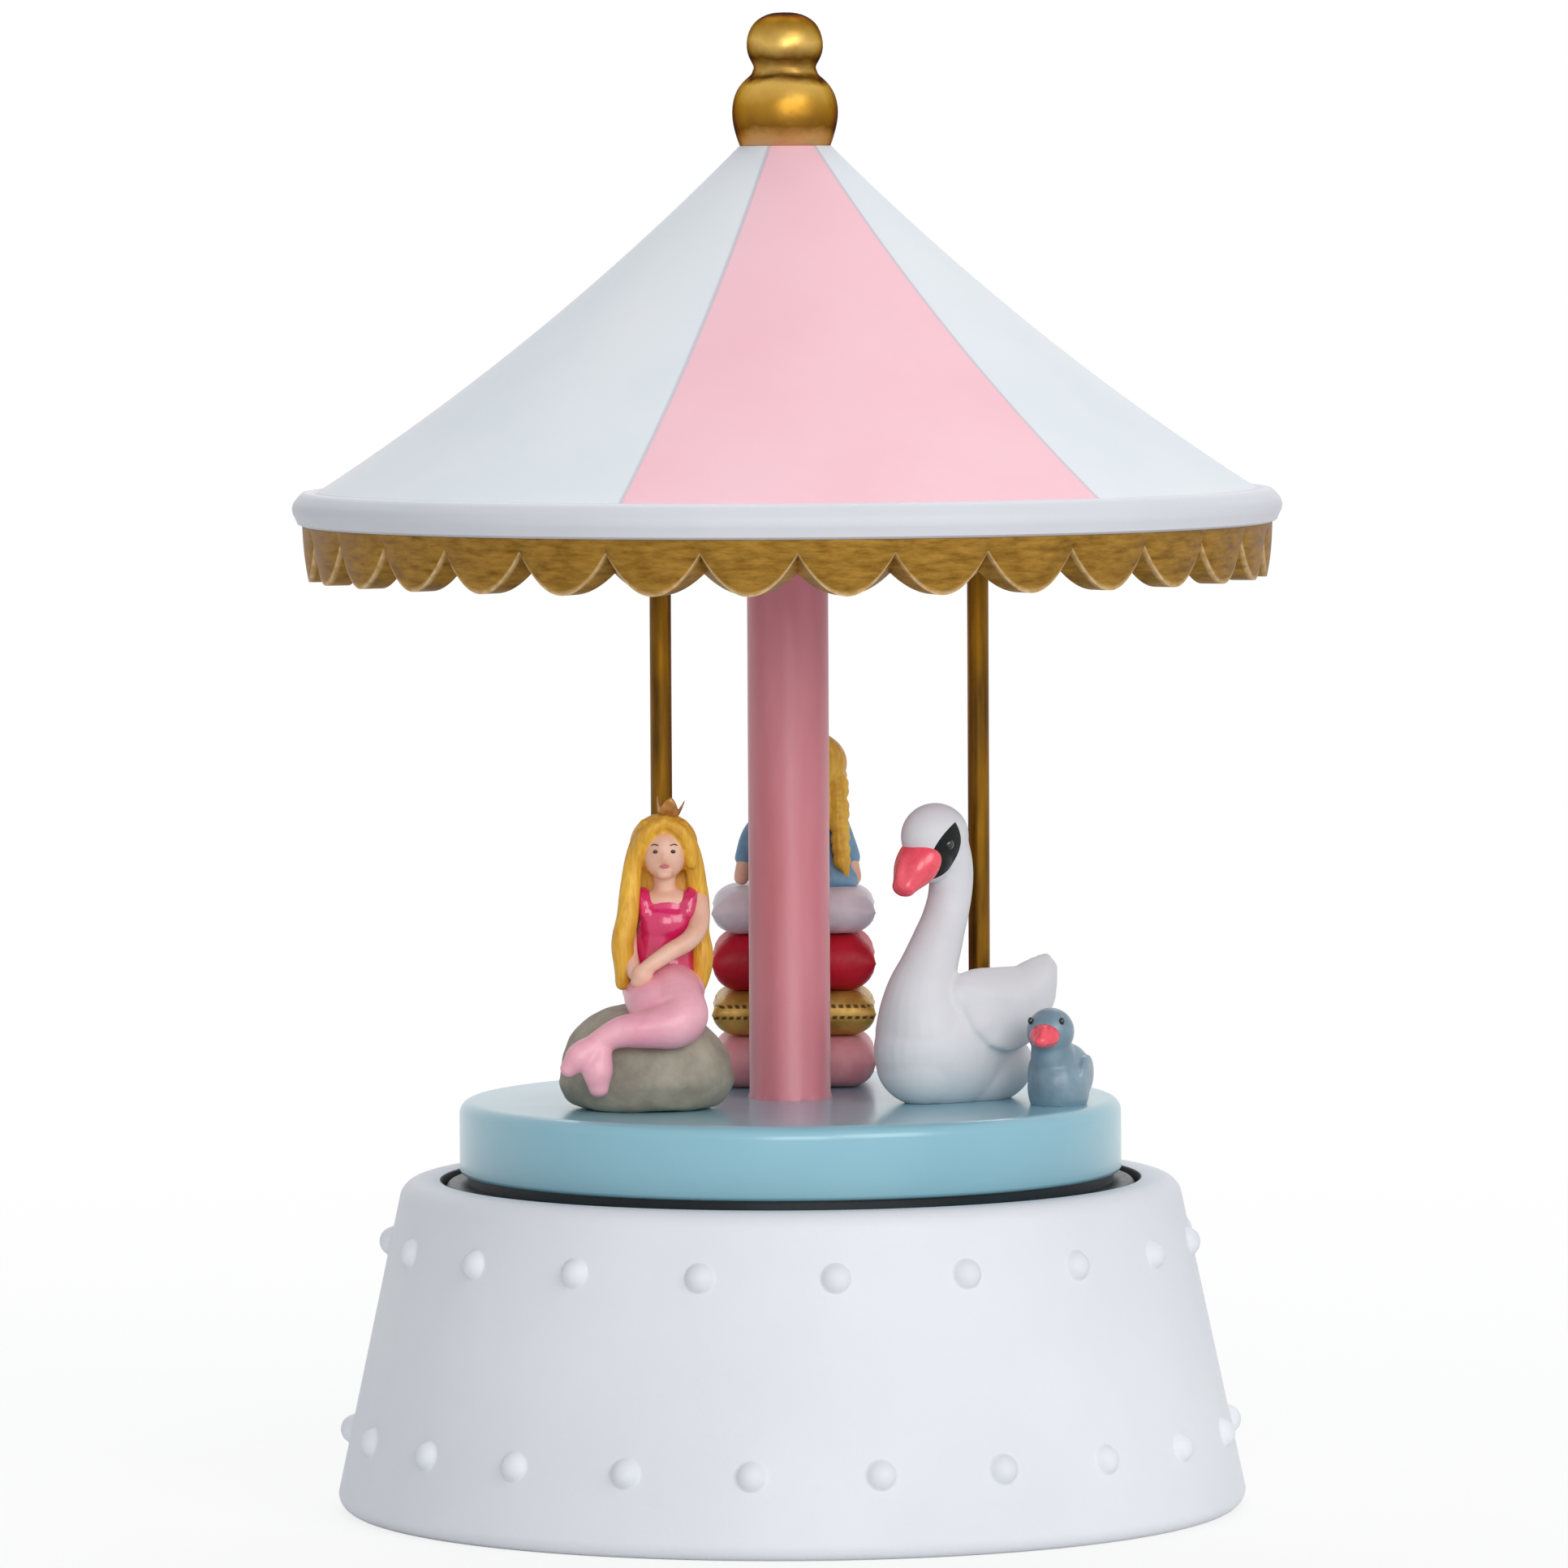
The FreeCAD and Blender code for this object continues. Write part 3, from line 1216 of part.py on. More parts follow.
def floor_cut(name, at_height):
    """What lies under a figure's standing height."""
    width = "4 * turntable_radius"
    corner = "0 - 2 * turntable_radius"
    return block(name, width, width, "turntable_thickness",
                 (corner, corner, "%s - turntable_thickness" % at_height))


# the rock's levels: share of its height, share of its width
ROCK_LEVELS = ((0.0, 0.95), (0.14, 1.0), (0.4, 0.97), (0.7, 0.85), (0.92, 0.68), (1.0, 0.52))
ROCK_LUMPS = 9
ROCK_ROUGHNESS = 0.045


def mermaid_rock():
    wide, deep, high = number("rock_width / 2"), number("rock_depth / 2"), number("rock_height")
    rings = []
    for share, swell in ROCK_LEVELS:
        points = []
        for lump in range(ROCK_LUMPS):
            angle = 2 * math.pi * lump / ROCK_LUMPS
            reach = swell * (1.0 + ROCK_ROUGHNESS * math.sin(2.7 * lump + 2 * share))
            points.append(Vector(wide * reach * math.cos(angle), deep * reach * math.sin(angle), share * high))
        edge = Part.BSplineCurve()
        edge.interpolate(points, PeriodicFlag=True)
        rings.append(Part.Wire(edge.toShape()))
    core = Part.makeCylinder(wide / 3, high, Vector(0, 0, 0))
    return figure("mermaid_rock", [Part.makeLoft(rings, True, False), core],
                  ("rock_x", "rock_y", "turntable_top"), "0", [rod_gap("rock_rod_gap", "mermaid")])


def mermaid():
    """A mermaid sitting with hands in lap, long hair behind and the tail down the front of the rock."""
    rock = mermaid_rock()
    torso, head = number("mermaid_torso"), number("mermaid_head_radius")
    hip, tail = number("mermaid_hip_radius"), number("mermaid_tail_length")
    face = torso + 1.55 * head
    brow = Vector(0, 0.12 * head, face + 1.05 * head)
    coronet = Part.makeCone(0.6 * head, 0.76 * head, head, brow)
    coronet = coronet.cut(Part.makeCone(0.46 * head, 0.62 * head, head, brow))
    forms = [
        # hips, trunk, neck, face, cap of hair, hair down the back and coronet
        ellipsoid((0, 0, 0.6 * hip), (hip, 0.85 * hip, 0.85 * hip)),
        limb((0, 0.2, 0.6 * hip, 0.8 * hip), (0, 0.5, 0.55 * torso, 0.6 * hip),
             (0, 0.3, 0.93 * torso, 0.66 * hip)),
        limb((0, 0.2, torso, 0.34 * head), (0, 0, face, 0.34 * head)),
        ellipsoid((0, -0.25 * head, face), (0.88 * head, 0.88 * head, 1.02 * head)),
        ellipsoid((0, 0.12 * head, face + 0.16 * head), (1.1 * head, 1.02 * head, 1.1 * head)),
        ellipsoid((0, 0.5 * head, 0.82 * torso), (1.66 * head, 0.64 * head, 0.68 * torso)),
        coronet,
        # tail and its two fins
        limb((0, -0.03 * tail, 0.6 * hip, 0.82 * hip), (0.17 * tail, -0.29 * tail, 0.3 * hip, 0.8 * hip),
             (0.25 * tail, -0.47 * tail, -0.3 * hip, 0.7 * hip),
             (0.04 * tail, -0.59 * tail, -0.17 * tail, 0.58 * hip),
             (-0.23 * tail, -0.61 * tail, -0.26 * tail, 0.43 * hip),
             (-0.4 * tail, -0.62 * tail, -0.35 * tail, 0.3 * hip)),
        ellipsoid((-0.51 * tail, -0.64 * tail, -0.37 * tail), (0.17 * tail, 0.05 * tail, 0.09 * tail)),
        ellipsoid((-0.38 * tail, -0.65 * tail, -0.49 * tail), (0.09 * tail, 0.05 * tail, 0.16 * tail)),
    ]
    for side in (-1, 1):
        # lock of hair and arm
        forms.append(limb((side * 1.08 * head, 0, face, 0.4 * head),
                          (side * 1.35 * head, -0.1 * head, 0.8 * torso, 0.46 * head),
                          (side * 1.45 * head, 0, 0.5 * torso, 0.4 * head),
                          (side * 1.3 * head, 0.1 * head, 0.24 * torso, 0.22 * head)))
        forms.append(limb((side * 0.72 * hip, 0, 0.95 * torso, 0.26 * hip),
                          (side * 1.15 * hip, -0.1 * hip, 0.6 * torso, 0.22 * hip),
                          (side * 0.5 * hip, -0.9 * hip, 0.42 * torso, 0.19 * hip)))
    figure("mermaid_figure", forms, ("mermaid_x", "mermaid_y", "rock_top"), "mermaid_turn",
           [rock, rod_gap("mermaid_rod_gap", "mermaid"),
            floor_cut("mermaid_floor", "turntable_top + glue_gap")])


# a cushion's levels: share of its thickness, share of its width
CUSHION_LEVELS = ((0.0, "cushion_flat"), (0.22, "0.95"), (0.5, "1"), (0.78, "0.95"), (1.0, "cushion_flat"))


def cushion(colour, bottom):
    """A square pillow whose sides draw in between its corners, flat where it meets its neighbours."""
    thick, pull = number("%s_cushion_thickness" % colour), number("cushion_pull")
    side_share, corner_share = number("cushion_side_share"), number("cushion_corner_share")
    rings = []
    for share, swell in CUSHION_LEVELS:
        tip, level = number("cushion_width / 2 * " + swell), share * thick
        shoulder, corner = side_share * tip, corner_share * tip
        edges = []
        for quarter in range(4):
            turn = Rotation(Vector(0, 0, 1), 90 * quarter)
            flat_points = ((-shoulder, -tip), (0, pull - tip), (shoulder, -tip),
                           (corner, -corner), (tip, -shoulder))
            points = [turn.multVec(Vector(x, y, level)) for x, y in flat_points]
            edges.append(Part.Arc(*points[:3]).toShape())
            edges.append(Part.Arc(*points[2:]).toShape())
        rings.append(Part.Wire(edges))
    form = Part.makeLoft(rings, True, False)
    form.Placement = Placement(Vector(number("cushion_x"), number("cushion_y"), number(bottom)), Rotation())
    name = colour + "_cushion"
    node(name, cut(name, solid(name + "_form", form), rod_gap(colour + "_rod_gap", "cushion")))


def seated_girl():
    """A girl in a spread skirt, sitting on the cushions and looking away from the front."""
    wide, deep = number("girl_skirt_width / 2"), number("girl_skirt_depth / 2")
    waist, shoulder = number("girl_waist_height"), number("girl_shoulder_height")
    head = number("girl_head_radius")
    face = shoulder + 1.4 * head
    forms = [
        # skirt and trunk, neck, face and cap of hair
        flared((0, wide, deep), (0.3 * waist, 0.92 * wide, 0.9 * deep),
               (0.75 * waist, 0.5 * wide, 0.52 * deep), (waist, 0.3 * wide, 0.32 * deep),
               (1.35 * waist, 0.36 * wide, 0.34 * deep),
               (shoulder, 0.37 * wide, 0.28 * deep)),
        limb((0, 0, 0.95 * shoulder, 0.34 * head), (0, 0, face, 0.34 * head)),
        ellipsoid((0, -0.2 * head, face), (0.9 * head, 0.9 * head, head)),
        ellipsoid((0, 0.12 * head, face + 0.12 * head), (1.2 * head, 1.05 * head, 1.1 * head)),
    ]
    for side in (-1, 1):
        # arm and plait
        forms.append(limb((side * 0.34 * wide, 0, 0.95 * shoulder, 0.28 * head),
                          (side * 0.62 * wide, 0.1, 0.62 * shoulder, 0.26 * head),
                          (side * 0.78 * wide, -0.5, 0.34 * shoulder, 0.22 * head)))
        forms.append(limb((side * 0.95 * head, 0.4 * head, face, 0.5 * head),
                          (side * 1.2 * head, 0.7 * head, 0.85 * shoulder, 0.5 * head),
                          (side * 1.2 * head, 0.9 * head, 0.45 * shoulder, 0.36 * head)))
    figure("seated_girl", forms, ("cushion_x + girl_shift", "cushion_y + girl_setback", "girl_seat"), "180",
           [rod_gap("girl_rod_gap", "cushion")])


def swan():
    long, wide = number("swan_length / 2"), number("swan_width / 2")
    body, neck = number("swan_body_height"), number("swan_neck_radius")
    crest, head = number("swan_head_height"), number("swan_head_radius")
    beak = number("swan_beak_length")
    bill_y, bill_z = -0.74 * long, crest - 0.7 * head
    forms = [
        # trunk, neck, head, beak and tail
        ellipsoid((0, 0.05 * long, 0.42 * body), (wide, long, 0.48 * body)),
        limb((0, -0.66 * long, 0.44 * body, 0.76 * wide), (0, -0.6 * long, 0.46 * crest, 1.4 * neck),
             (0, -0.32 * long, 0.63 * crest, neck), (0, -0.14 * long, 0.82 * crest, neck),
             (0, -0.2 * long, 0.94 * crest, 1.06 * neck), (0, -0.46 * long, crest, 1.1 * neck)),
        ellipsoid((0, -0.58 * long, crest), (0.88 * head, 1.15 * head, 0.96 * head),
                  Rotation(Vector(1, 0, 0), 24)),
        limb((0, bill_y, bill_z, 0.5 * head), (0, bill_y - 0.5 * beak, bill_z - 0.75 * beak, 0.2 * head)),
        limb((0, 0.7 * long, 0.45 * body, 0.45 * wide), (0, 1.18 * long, 0.7 * body, 0.14 * wide)),
    ]
    for side in (-1, 1):
        # wing folded along the trunk
        forms.append(ellipsoid((side * 0.82 * wide, 0.16 * long, 0.68 * body),
                               (0.26 * wide, 0.8 * long, 0.3 * body), Rotation(Vector(1, 0, 0), 25)))
    figure("swan", forms, ("swan_x", "swan_y", "turntable_top"), "swan_turn",
           [rod_gap("swan_rod_gap", "swan"), floor_cut("swan_floor", "turntable_top")])


def cygnet():
    long, body = number("cygnet_length / 2"), number("cygnet_body_height")
    head = number("cygnet_head_radius")
    crown, bill = body + 0.7 * head, -0.42 * long
    forms = [
        # trunk, neck, head, beak and tail
        ellipsoid((0, 0.1 * long, 0.46 * body), (0.86 * long, long, 0.54 * body)),
        limb((0, -0.3 * long, 0.6 * body, 0.8 * head), (0, -0.35 * long, crown, 0.7 * head)),
        ellipsoid((0, bill, crown), (head, 1.04 * head, head)),
        limb((0, bill - 0.9 * head, crown - 0.15 * head, 0.3 * head),
             (0, bill - 1.6 * head, crown - 0.4 * head, 0.12 * head)),
        limb((0, 0.8 * long, 0.5 * body, 0.34 * long), (0, 1.2 * long, 0.8 * body, 0.1 * long)),
    ]
    figure("cygnet", forms, ("cygnet_x", "cygnet_y", "turntable_top"), "cygnet_turn",
           [floor_cut("cygnet_floor", "turntable_top")])


# document checks and files

def write_parts():
    document.recompute()
    for thing in document.Objects:
        if "Invalid" in thing.State or "Error" in thing.State:
            raise RuntimeError("%s failed: %s" % (thing.Name, thing.State))
    os.makedirs("parts", exist_ok=True)
    for name, thing in nodes.items():
        shape = thing.Shape
        if shape.isNull() or not shape.isValid() or not shape.Solids:
            raise RuntimeError("%s has no valid shape" % name)
        shape.exportStep("parts/%s.step" % name)


base_shell()
base_cover()
bedplate()
comb()
governor_bracket()
click()
winding_key()
ratchet_wheel()
spring_barrel()
mainspring()
output_spindle()
pinned_cylinder()
governor()
drive_plate()
turntable()
pole_and_rods()
canopy_roof()
valance()
finial()
mermaid()
cushion("pink", "turntable_top")
cushion("gold", "gold_cushion_bottom")
cushion("crimson", "crimson_cushion_bottom")
cushion("lilac", "lilac_cushion_bottom")
seated_girl()
swan()
cygnet()
write_parts()
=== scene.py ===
"""Looks of the carousel music box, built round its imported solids. Lengths are in millimetres times MM."""

import json
import math

import bpy
from mathutils import Matrix, Vector


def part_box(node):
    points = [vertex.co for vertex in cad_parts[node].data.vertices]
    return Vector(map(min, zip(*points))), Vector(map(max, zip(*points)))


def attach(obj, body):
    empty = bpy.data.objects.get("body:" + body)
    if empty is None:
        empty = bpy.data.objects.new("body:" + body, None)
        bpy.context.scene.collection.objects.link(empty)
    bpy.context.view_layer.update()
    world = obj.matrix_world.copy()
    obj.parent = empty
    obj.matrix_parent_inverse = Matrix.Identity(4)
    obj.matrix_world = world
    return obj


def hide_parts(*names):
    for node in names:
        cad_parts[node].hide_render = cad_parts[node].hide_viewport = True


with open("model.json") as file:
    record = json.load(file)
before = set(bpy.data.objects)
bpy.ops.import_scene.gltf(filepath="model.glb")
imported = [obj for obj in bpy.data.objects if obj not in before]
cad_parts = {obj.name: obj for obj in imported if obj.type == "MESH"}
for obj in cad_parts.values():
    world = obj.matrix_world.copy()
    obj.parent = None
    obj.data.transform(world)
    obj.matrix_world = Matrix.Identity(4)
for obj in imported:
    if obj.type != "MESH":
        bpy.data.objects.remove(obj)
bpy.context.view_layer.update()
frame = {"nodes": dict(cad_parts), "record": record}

MM = 0.001
# points of a mesh that are closer than this are one point
MERGE_GAP = 0.002


# modelling tools

def box(node):
    """A solid's lowest and highest corners, in millimetres."""
    return [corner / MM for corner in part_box(node)]


def plan_middle(node):
    """The X and Y of a solid's middle."""
    low, high = box(node)
    return (low.x + high.x) / 2, (low.y + high.y) / 2


def clear():
    """Deselect everything, so that an operator meets only the piece in hand."""
    bpy.ops.object.select_all(action="DESELECT")


def pick(*pieces):
    """Select these pieces, the first one active."""
    clear()
    for piece in pieces:
        piece.select_set(True)
    bpy.context.view_layer.objects.active = pieces[0]


def settle(piece):
    """Put the piece's place, turn and size into its mesh."""
    pick(piece)
    bpy.ops.object.transform_apply(location=True, rotation=True, scale=True)
    return piece


def modify(piece, kind, **settings):
    """Give the piece a modifier and apply it."""
    pick(piece)
    modifier = piece.modifiers.new(kind.lower(), kind)
    for key, value in settings.items():
        setattr(modifier, key, value)
    bpy.ops.object.modifier_apply(modifier=modifier.name)
    return piece


def edit(piece):
    """Open the piece's mesh for editing, all of it selected."""
    pick(piece)
    bpy.ops.object.mode_set(mode="EDIT")
    bpy.ops.mesh.select_all(action="SELECT")


def closed(piece, angle=35):
    """Merge doubles, point the faces outwards and smooth all but the edges sharper than an angle."""
    edit(piece)
    bpy.ops.mesh.remove_doubles(threshold=MERGE_GAP * MM)
    bpy.ops.mesh.normals_make_consistent(inside=False)
    bpy.ops.object.mode_set(mode="OBJECT")
    bpy.ops.object.shade_smooth_by_angle(angle=math.radians(angle))
    return piece


def named(piece, name):
    piece.name = piece.data.name = name
    return piece


def joined(name, pieces):
    """One piece from several."""
    pick(*pieces)
    bpy.ops.object.join()
    return named(bpy.context.object, name)


def arc(centre, radius, start, end, steps=8):
    """Profile points (radius, height) along an arc, with angles in degrees from straight outwards."""
    points = []
    for step in range(steps + 1):
        angle = math.radians(start + (end - start) * step / steps)
        points.append((centre[0] + radius * math.cos(angle), centre[1] + radius * math.sin(angle)))
    return points


def turned(name, profile, sides=192, ring=False):
    """A lathe form: a circle drawn out along the profile's points, closed on itself for a ring."""
    clear()
    radius, height = profile[0]
    bpy.ops.mesh.primitive_circle_add(vertices=sides, radius=radius * MM, location=(0, 0, height * MM),
                                      fill_type="NOTHING" if ring else "NGON")
    piece = settle(named(bpy.context.object, name))
    edit(piece)
    for next_radius, next_height in profile[1:] + (profile[:1] if ring else []):
        rise = (0, 0, (next_height - height) * MM)
        bpy.ops.mesh.extrude_region_move(TRANSFORM_OT_translate={"value": rise})
        swell = next_radius / radius
        bpy.ops.transform.resize(value=(swell, swell, 1), center_override=(0, 0, next_height * MM))
        radius, height = next_radius, next_height
    bpy.ops.object.mode_set(mode="OBJECT")
    return closed(piece)


def moved(piece, by=(0, 0, 0), turn=0.0):
    """Turn the piece about the axis, in degrees, and then move it."""
    place = Matrix.Translation(Vector(by) * MM) @ Matrix.Rotation(math.radians(turn), 4, "Z")
    piece.matrix_world = place @ piece.matrix_world
    return settle(piece)


def copy_of(piece, turn):
    """A copy with its own mesh, turned about the axis."""
    pick(piece)
    bpy.ops.object.duplicate(linked=False)
    return moved(bpy.context.object, turn=turn)


def ball(centre, radii, tilt=(0, 0, 0)):
    """An ellipsoid to be run together with other forms, with its tilt in degrees."""
    clear()
    bpy.ops.mesh.primitive_uv_sphere_add(segments=32, ring_count=20, radius=MM,
                                         location=Vector(centre) * MM,
                                         rotation=[math.radians(angle) for angle in tilt])
    bpy.context.object.scale = radii
    return settle(bpy.context.object)


# how far past a limb's end, and how wide, each closing ring is, as shares of the end's radius
LIMB_ENDS = ((0.5, 0.87), (0.8, 0.6), (0.97, 0.24))


def limb(*stations, stretch=(1, 1, 1)):
    """A smooth tube through stations (x, y, z, radius), with a round end past the first and the last."""
    points = [Vector(station[:3]) for station in stations]
    radii = [station[3] for station in stations]
    first = (points[0] - points[1]).normalized()
    last = (points[-1] - points[-2]).normalized()
    way = list(zip(points, radii))
    for reach, share in LIMB_ENDS:
        way.insert(0, (points[0] + first * reach * radii[0], share * radii[0]))
        way.append((points[-1] + last * reach * radii[-1], share * radii[-1]))
    curve = bpy.data.curves.new("limb", "CURVE")
    curve.dimensions = "3D"
    curve.bevel_depth = MM
    curve.bevel_resolution = 10
    curve.resolution_u = 8
    curve.use_fill_caps = True
    spline = curve.splines.new("BEZIER")
    spline.radius_interpolation = "CARDINAL"
    spline.bezier_points.add(len(way) - 1)
    for knot, (point, radius) in zip(spline.bezier_points, way):
        knot.co = point * MM
        knot.radius = radius
        knot.handle_left_type = knot.handle_right_type = "AUTO"
    piece = bpy.data.objects.new("limb", curve)
    bpy.context.scene.collection.objects.link(piece)
    pick(piece)
    bpy.ops.object.convert(target="MESH")
    bpy.context.object.scale = stretch
    return settle(bpy.context.object)


# the power that gives a plate its round edge: 1 for a ball's section, less for a flatter one
PLATE_EDGE = 0.6


def plate(outline, middle, thickness):
    """A curved plate with a round edge: a flat ball drawn out from its middle to an outline facing +X."""
    middle = Vector(middle)
    rim = sorted((math.atan2(point[2] - middle.z, point[1] - middle.y), Vector(point)) for point in outline)
    rim = [(rim[-1][0] - 2 * math.pi, rim[-1][1])] + rim + [(rim[0][0] + 2 * math.pi, rim[0][1])]
    piece = ball((0, 0, 0), (1, 1, 1), (0, 90, 0))
    for vertex in piece.data.vertices:
        across, along, up = vertex.co / MM
        angle, share = math.atan2(up, along), math.hypot(along, up)
        for (start, first), (end, second) in zip(rim, rim[1:]):
            if start <= angle <= end:
                edge = first.lerp(second, (angle - start) / (end - start))
        spot = middle.lerp(edge, share)
        bulge = math.copysign(abs(across) ** PLATE_EDGE, across)
        spot.x = middle.x + (edge.x - middle.x) * share ** 2 + bulge * thickness / 2
        vertex.co = spot * MM
    return closed(piece, 180)


def fused(name, forms, grid=0.28, rounds=5):
    """Forms run together into one smooth skin, as in a casting, on a grid of the given size."""
    piece = joined(name, forms)
    modify(piece, "REMESH", mode="VOXEL", voxel_size=grid * MM)
    modify(piece, "SMOOTH", factor=0.5, iterations=rounds)
    return closed(piece, 180)


def rounder(piece):
    """Divide the faces once and round them off."""
    return modify(piece, "SUBSURF", levels=1, render_levels=1)


def flattened(piece):
    """Cut away what is under the floor of a figure, and close the cut."""
    edit(piece)
    bpy.ops.mesh.bisect(plane_co=(0, 0, 0), plane_no=(0, 0, 1), use_fill=True, clear_inner=True)
    bpy.ops.object.mode_set(mode="OBJECT")
    return closed(piece, 50)


def lumpy(piece, size, depth):
    """Press slow unevenness into the surface, as in a hand-finished casting."""
    noise = bpy.data.textures.new(piece.name + "_unevenness", "CLOUDS")
    noise.noise_scale = size * MM
    return modify(piece, "DISPLACE", texture=noise, texture_coords="LOCAL", strength=depth * MM,
                  mid_level=0.5)


# materials

# noise seldom leaves this range, so tones and sheens go from end to end within it
NOISE_LOW, NOISE_HIGH = 0.3, 0.7


def linear(colour):
    """An sRGB hex colour as linear values."""
    values = []
    for start in (1, 3, 5):
        level = int(colour[start:start + 2], 16) / 255
        values.append(level / 12.92 if level <= 0.04045 else ((level + 0.055) / 1.055) ** 2.4)
    return (*values, 1.0)


def link(source, target):
    source.id_data.links.new(source, target)


def add(near, kind, inputs=None, **settings):
    """Add a node with settings, values and links to the tree that another node or socket is in."""
    node = near.id_data.nodes.new("ShaderNode" + kind)
    for key, value in settings.items():
        setattr(node, key, value)
    for socket, value in (inputs or {}).items():
        if isinstance(value, bpy.types.NodeSocket):
            link(value, node.inputs[socket])
        else:
            node.inputs[socket].default_value = value
    return node


def maths(operation, *values):
    """The result of an operation on sockets and numbers, a socket first."""
    return add(values[0], "Math", dict(enumerate(values)), operation=operation).outputs[0]


def ranged(value, start, end, first=0.0, last=1.0):
    """A value from the range start to end, taken over to the range first to last and held there."""
    return add(value, "MapRange", {"Value": value, "From Min": start, "From Max": end,
                                   "To Min": first, "To Max": last}).outputs["Result"]


def mixed(share, first, second):
    """The first colour where the share is 0, and the second where it is 1."""
    return add(share, "Mix", {"Factor": share, "A": first, "B": second}, data_type="RGBA").outputs["Result"]


def place_on(shader):
    """The place of a point on the piece, in metres."""
    return add(shader, "TexCoord").outputs["Object"]


def axes(place):
    """A place's X, Y and Z."""
    return add(place, "SeparateXYZ", {"Vector": place}).outputs


def length_of(place):
    """A place's distance from the origin."""
    return add(place, "VectorMath", {0: place}, operation="LENGTH").outputs["Value"]


def reach_of(place):
    """The distance from the turning axis, from a place's X and Y."""
    return length_of(add(place["X"], "CombineXYZ", {"X": place["X"], "Y": place["Y"]}).outputs[0])


def surface(name, **values):
    """A new material and its shader, with values on the shader's sockets."""
    material = bpy.data.materials.new(name)
    material.use_nodes = True
    shader = material.node_tree.nodes["Principled BSDF"]
    for socket, value in values.items():
        shader.inputs[socket.replace("_", " ")].default_value = value
    return material, shader


def spots(shader, size, detail=3.0, stretch=(1, 1, 1), roughness=0.5):
    """Noise whose spots are about the given size in millimetres, stretched along the axes."""
    scale = [1 / (size * MM * share) for share in stretch]
    way = add(shader, "Mapping", {"Vector": place_on(shader), "Scale": scale})
    return add(shader, "TexNoise", {"Vector": way.outputs["Vector"], "Scale": 1.0, "Detail": detail,
                                    "Roughness": roughness}).outputs["Fac"]


def toned(share, *stops):
    """A colour that goes through stops (share, colour), given in rising order."""
    ramp = add(share, "ValToRGB", {"Fac": share})
    elements = ramp.color_ramp.elements
    for element, (place, colour) in zip(elements, (stops[0], stops[-1])):
        element.position = place
        element.color = colour
    for place, colour in stops[1:-1]:
        elements.new(place).color = colour
    return ramp.outputs["Color"]


def between(share, low, high):
    """A colour that goes from low to high with the share."""
    return toned(share, (NOISE_LOW, linear(low)), (NOISE_HIGH, linear(high)))


def coloured(shader, colour):
    link(colour, shader.inputs["Base Color"])


def relief(shader, height, depth):
    """Raise the surface by the height's pattern, up to a depth in millimetres."""
    bump = add(shader, "Bump", {"Height": height, "Distance": depth * MM, "Strength": 1.0})
    link(bump.outputs["Normal"], shader.inputs["Normal"])


def sheen(shader, share, low, high):
    """Roughness that goes from low to high with the share."""
    link(ranged(share, NOISE_LOW, NOISE_HIGH, low, high), shader.inputs["Roughness"])


def film(shader, pattern, low, high, depth):
    """A film of paint: its roughness and its height follow one pattern."""
    sheen(shader, pattern, low, high)
    if depth:
        relief(shader, pattern, depth)


def brushed_on(name, dark, light, patch, rough, grain, depth, stretch=(1, 1, 1), spread=0.06, coat=None,
               **values):
    """Paint brushed on cast resin: slow patches of tone, a film uneven in fine grain, and perhaps a coat."""
    material, shader = surface(name, **values)
    if coat:
        shader.inputs["Coat Weight"].default_value, shader.inputs["Coat Roughness"].default_value = coat
    coloured(shader, between(spots(shader, patch, 4.0, stretch), dark, light))
    film(shader, spots(shader, grain, 3.0, stretch), rough - spread, rough + spread, depth)
    return material


# the grey line between two panels: how far from the joint it is whole and where it ends, and its strength
LINE_WHOLE, LINE_END, LINE_SHARE = 0.1, 0.3, 0.8


def panel_paint():
    """Satin paint on the roof: pink and white panels with a thin grey line where they meet, and a
    lavender-white rim painted a little greyer than the panels as painted shade.
    """
    material, shader = surface("satin_panel_paint", IOR=1.46, Specular_IOR_Level=0.4)
    place = axes(place_on(shader))
    angle = maths("ARCTAN2", place["X"], maths("MULTIPLY", place["Y"], -1.0))
    # the panels are not quite equal: the ramp turns the angle into a count of panels
    panels = len(PANEL_EDGES)
    levels = [(index + PANEL_OFFSET) / panels for index in range(panels)]
    edges = [((edge + 180) / 360, (level, level, level, 1)) for edge, level in zip(PANEL_EDGES, levels)]
    ramp = toned(ranged(angle, -math.pi, math.pi), (0, (0, 0, 0, 1)), *edges, (1, (1, 1, 1, 1)))
    count = ranged(ramp, 0.0, 1.0, -PANEL_OFFSET, panels - PANEL_OFFSET)
    pink = maths("LESS_THAN", maths("FLOORED_MODULO", count, 2.0), 1.0)
    tone = spots(shader, 26.0, 4.0)
    white = between(tone, "#DCE3E8", "#E6E9EC")
    paint = mixed(pink, white, between(tone, "#F4BDC7", "#F7C7D0"))
    # the distance from a joint, so that the line is as wide at the rim as at the top
    away = maths("MULTIPLY", maths("PINGPONG", count, 0.5), reach_of(place))
    line = ranged(away, LINE_WHOLE * MM, LINE_END * MM, LINE_SHARE, 0.0)
    lined = mixed(line, paint, linear("#C6C0C9"))
    # the rim's white is greyer than the panels': partly its own lavender white, partly painted shade
    rim = maths("LESS_THAN", place["Z"], (box("canopy_roof")[0].z + RIM_HEIGHT) * MM)
    coloured(shader, mixed(rim, lined, between(tone, "#D4D6DC", "#DDDDE3")))
    film(shader, spots(shader, 0.9), 0.5, 0.6, 0.012)
    return material


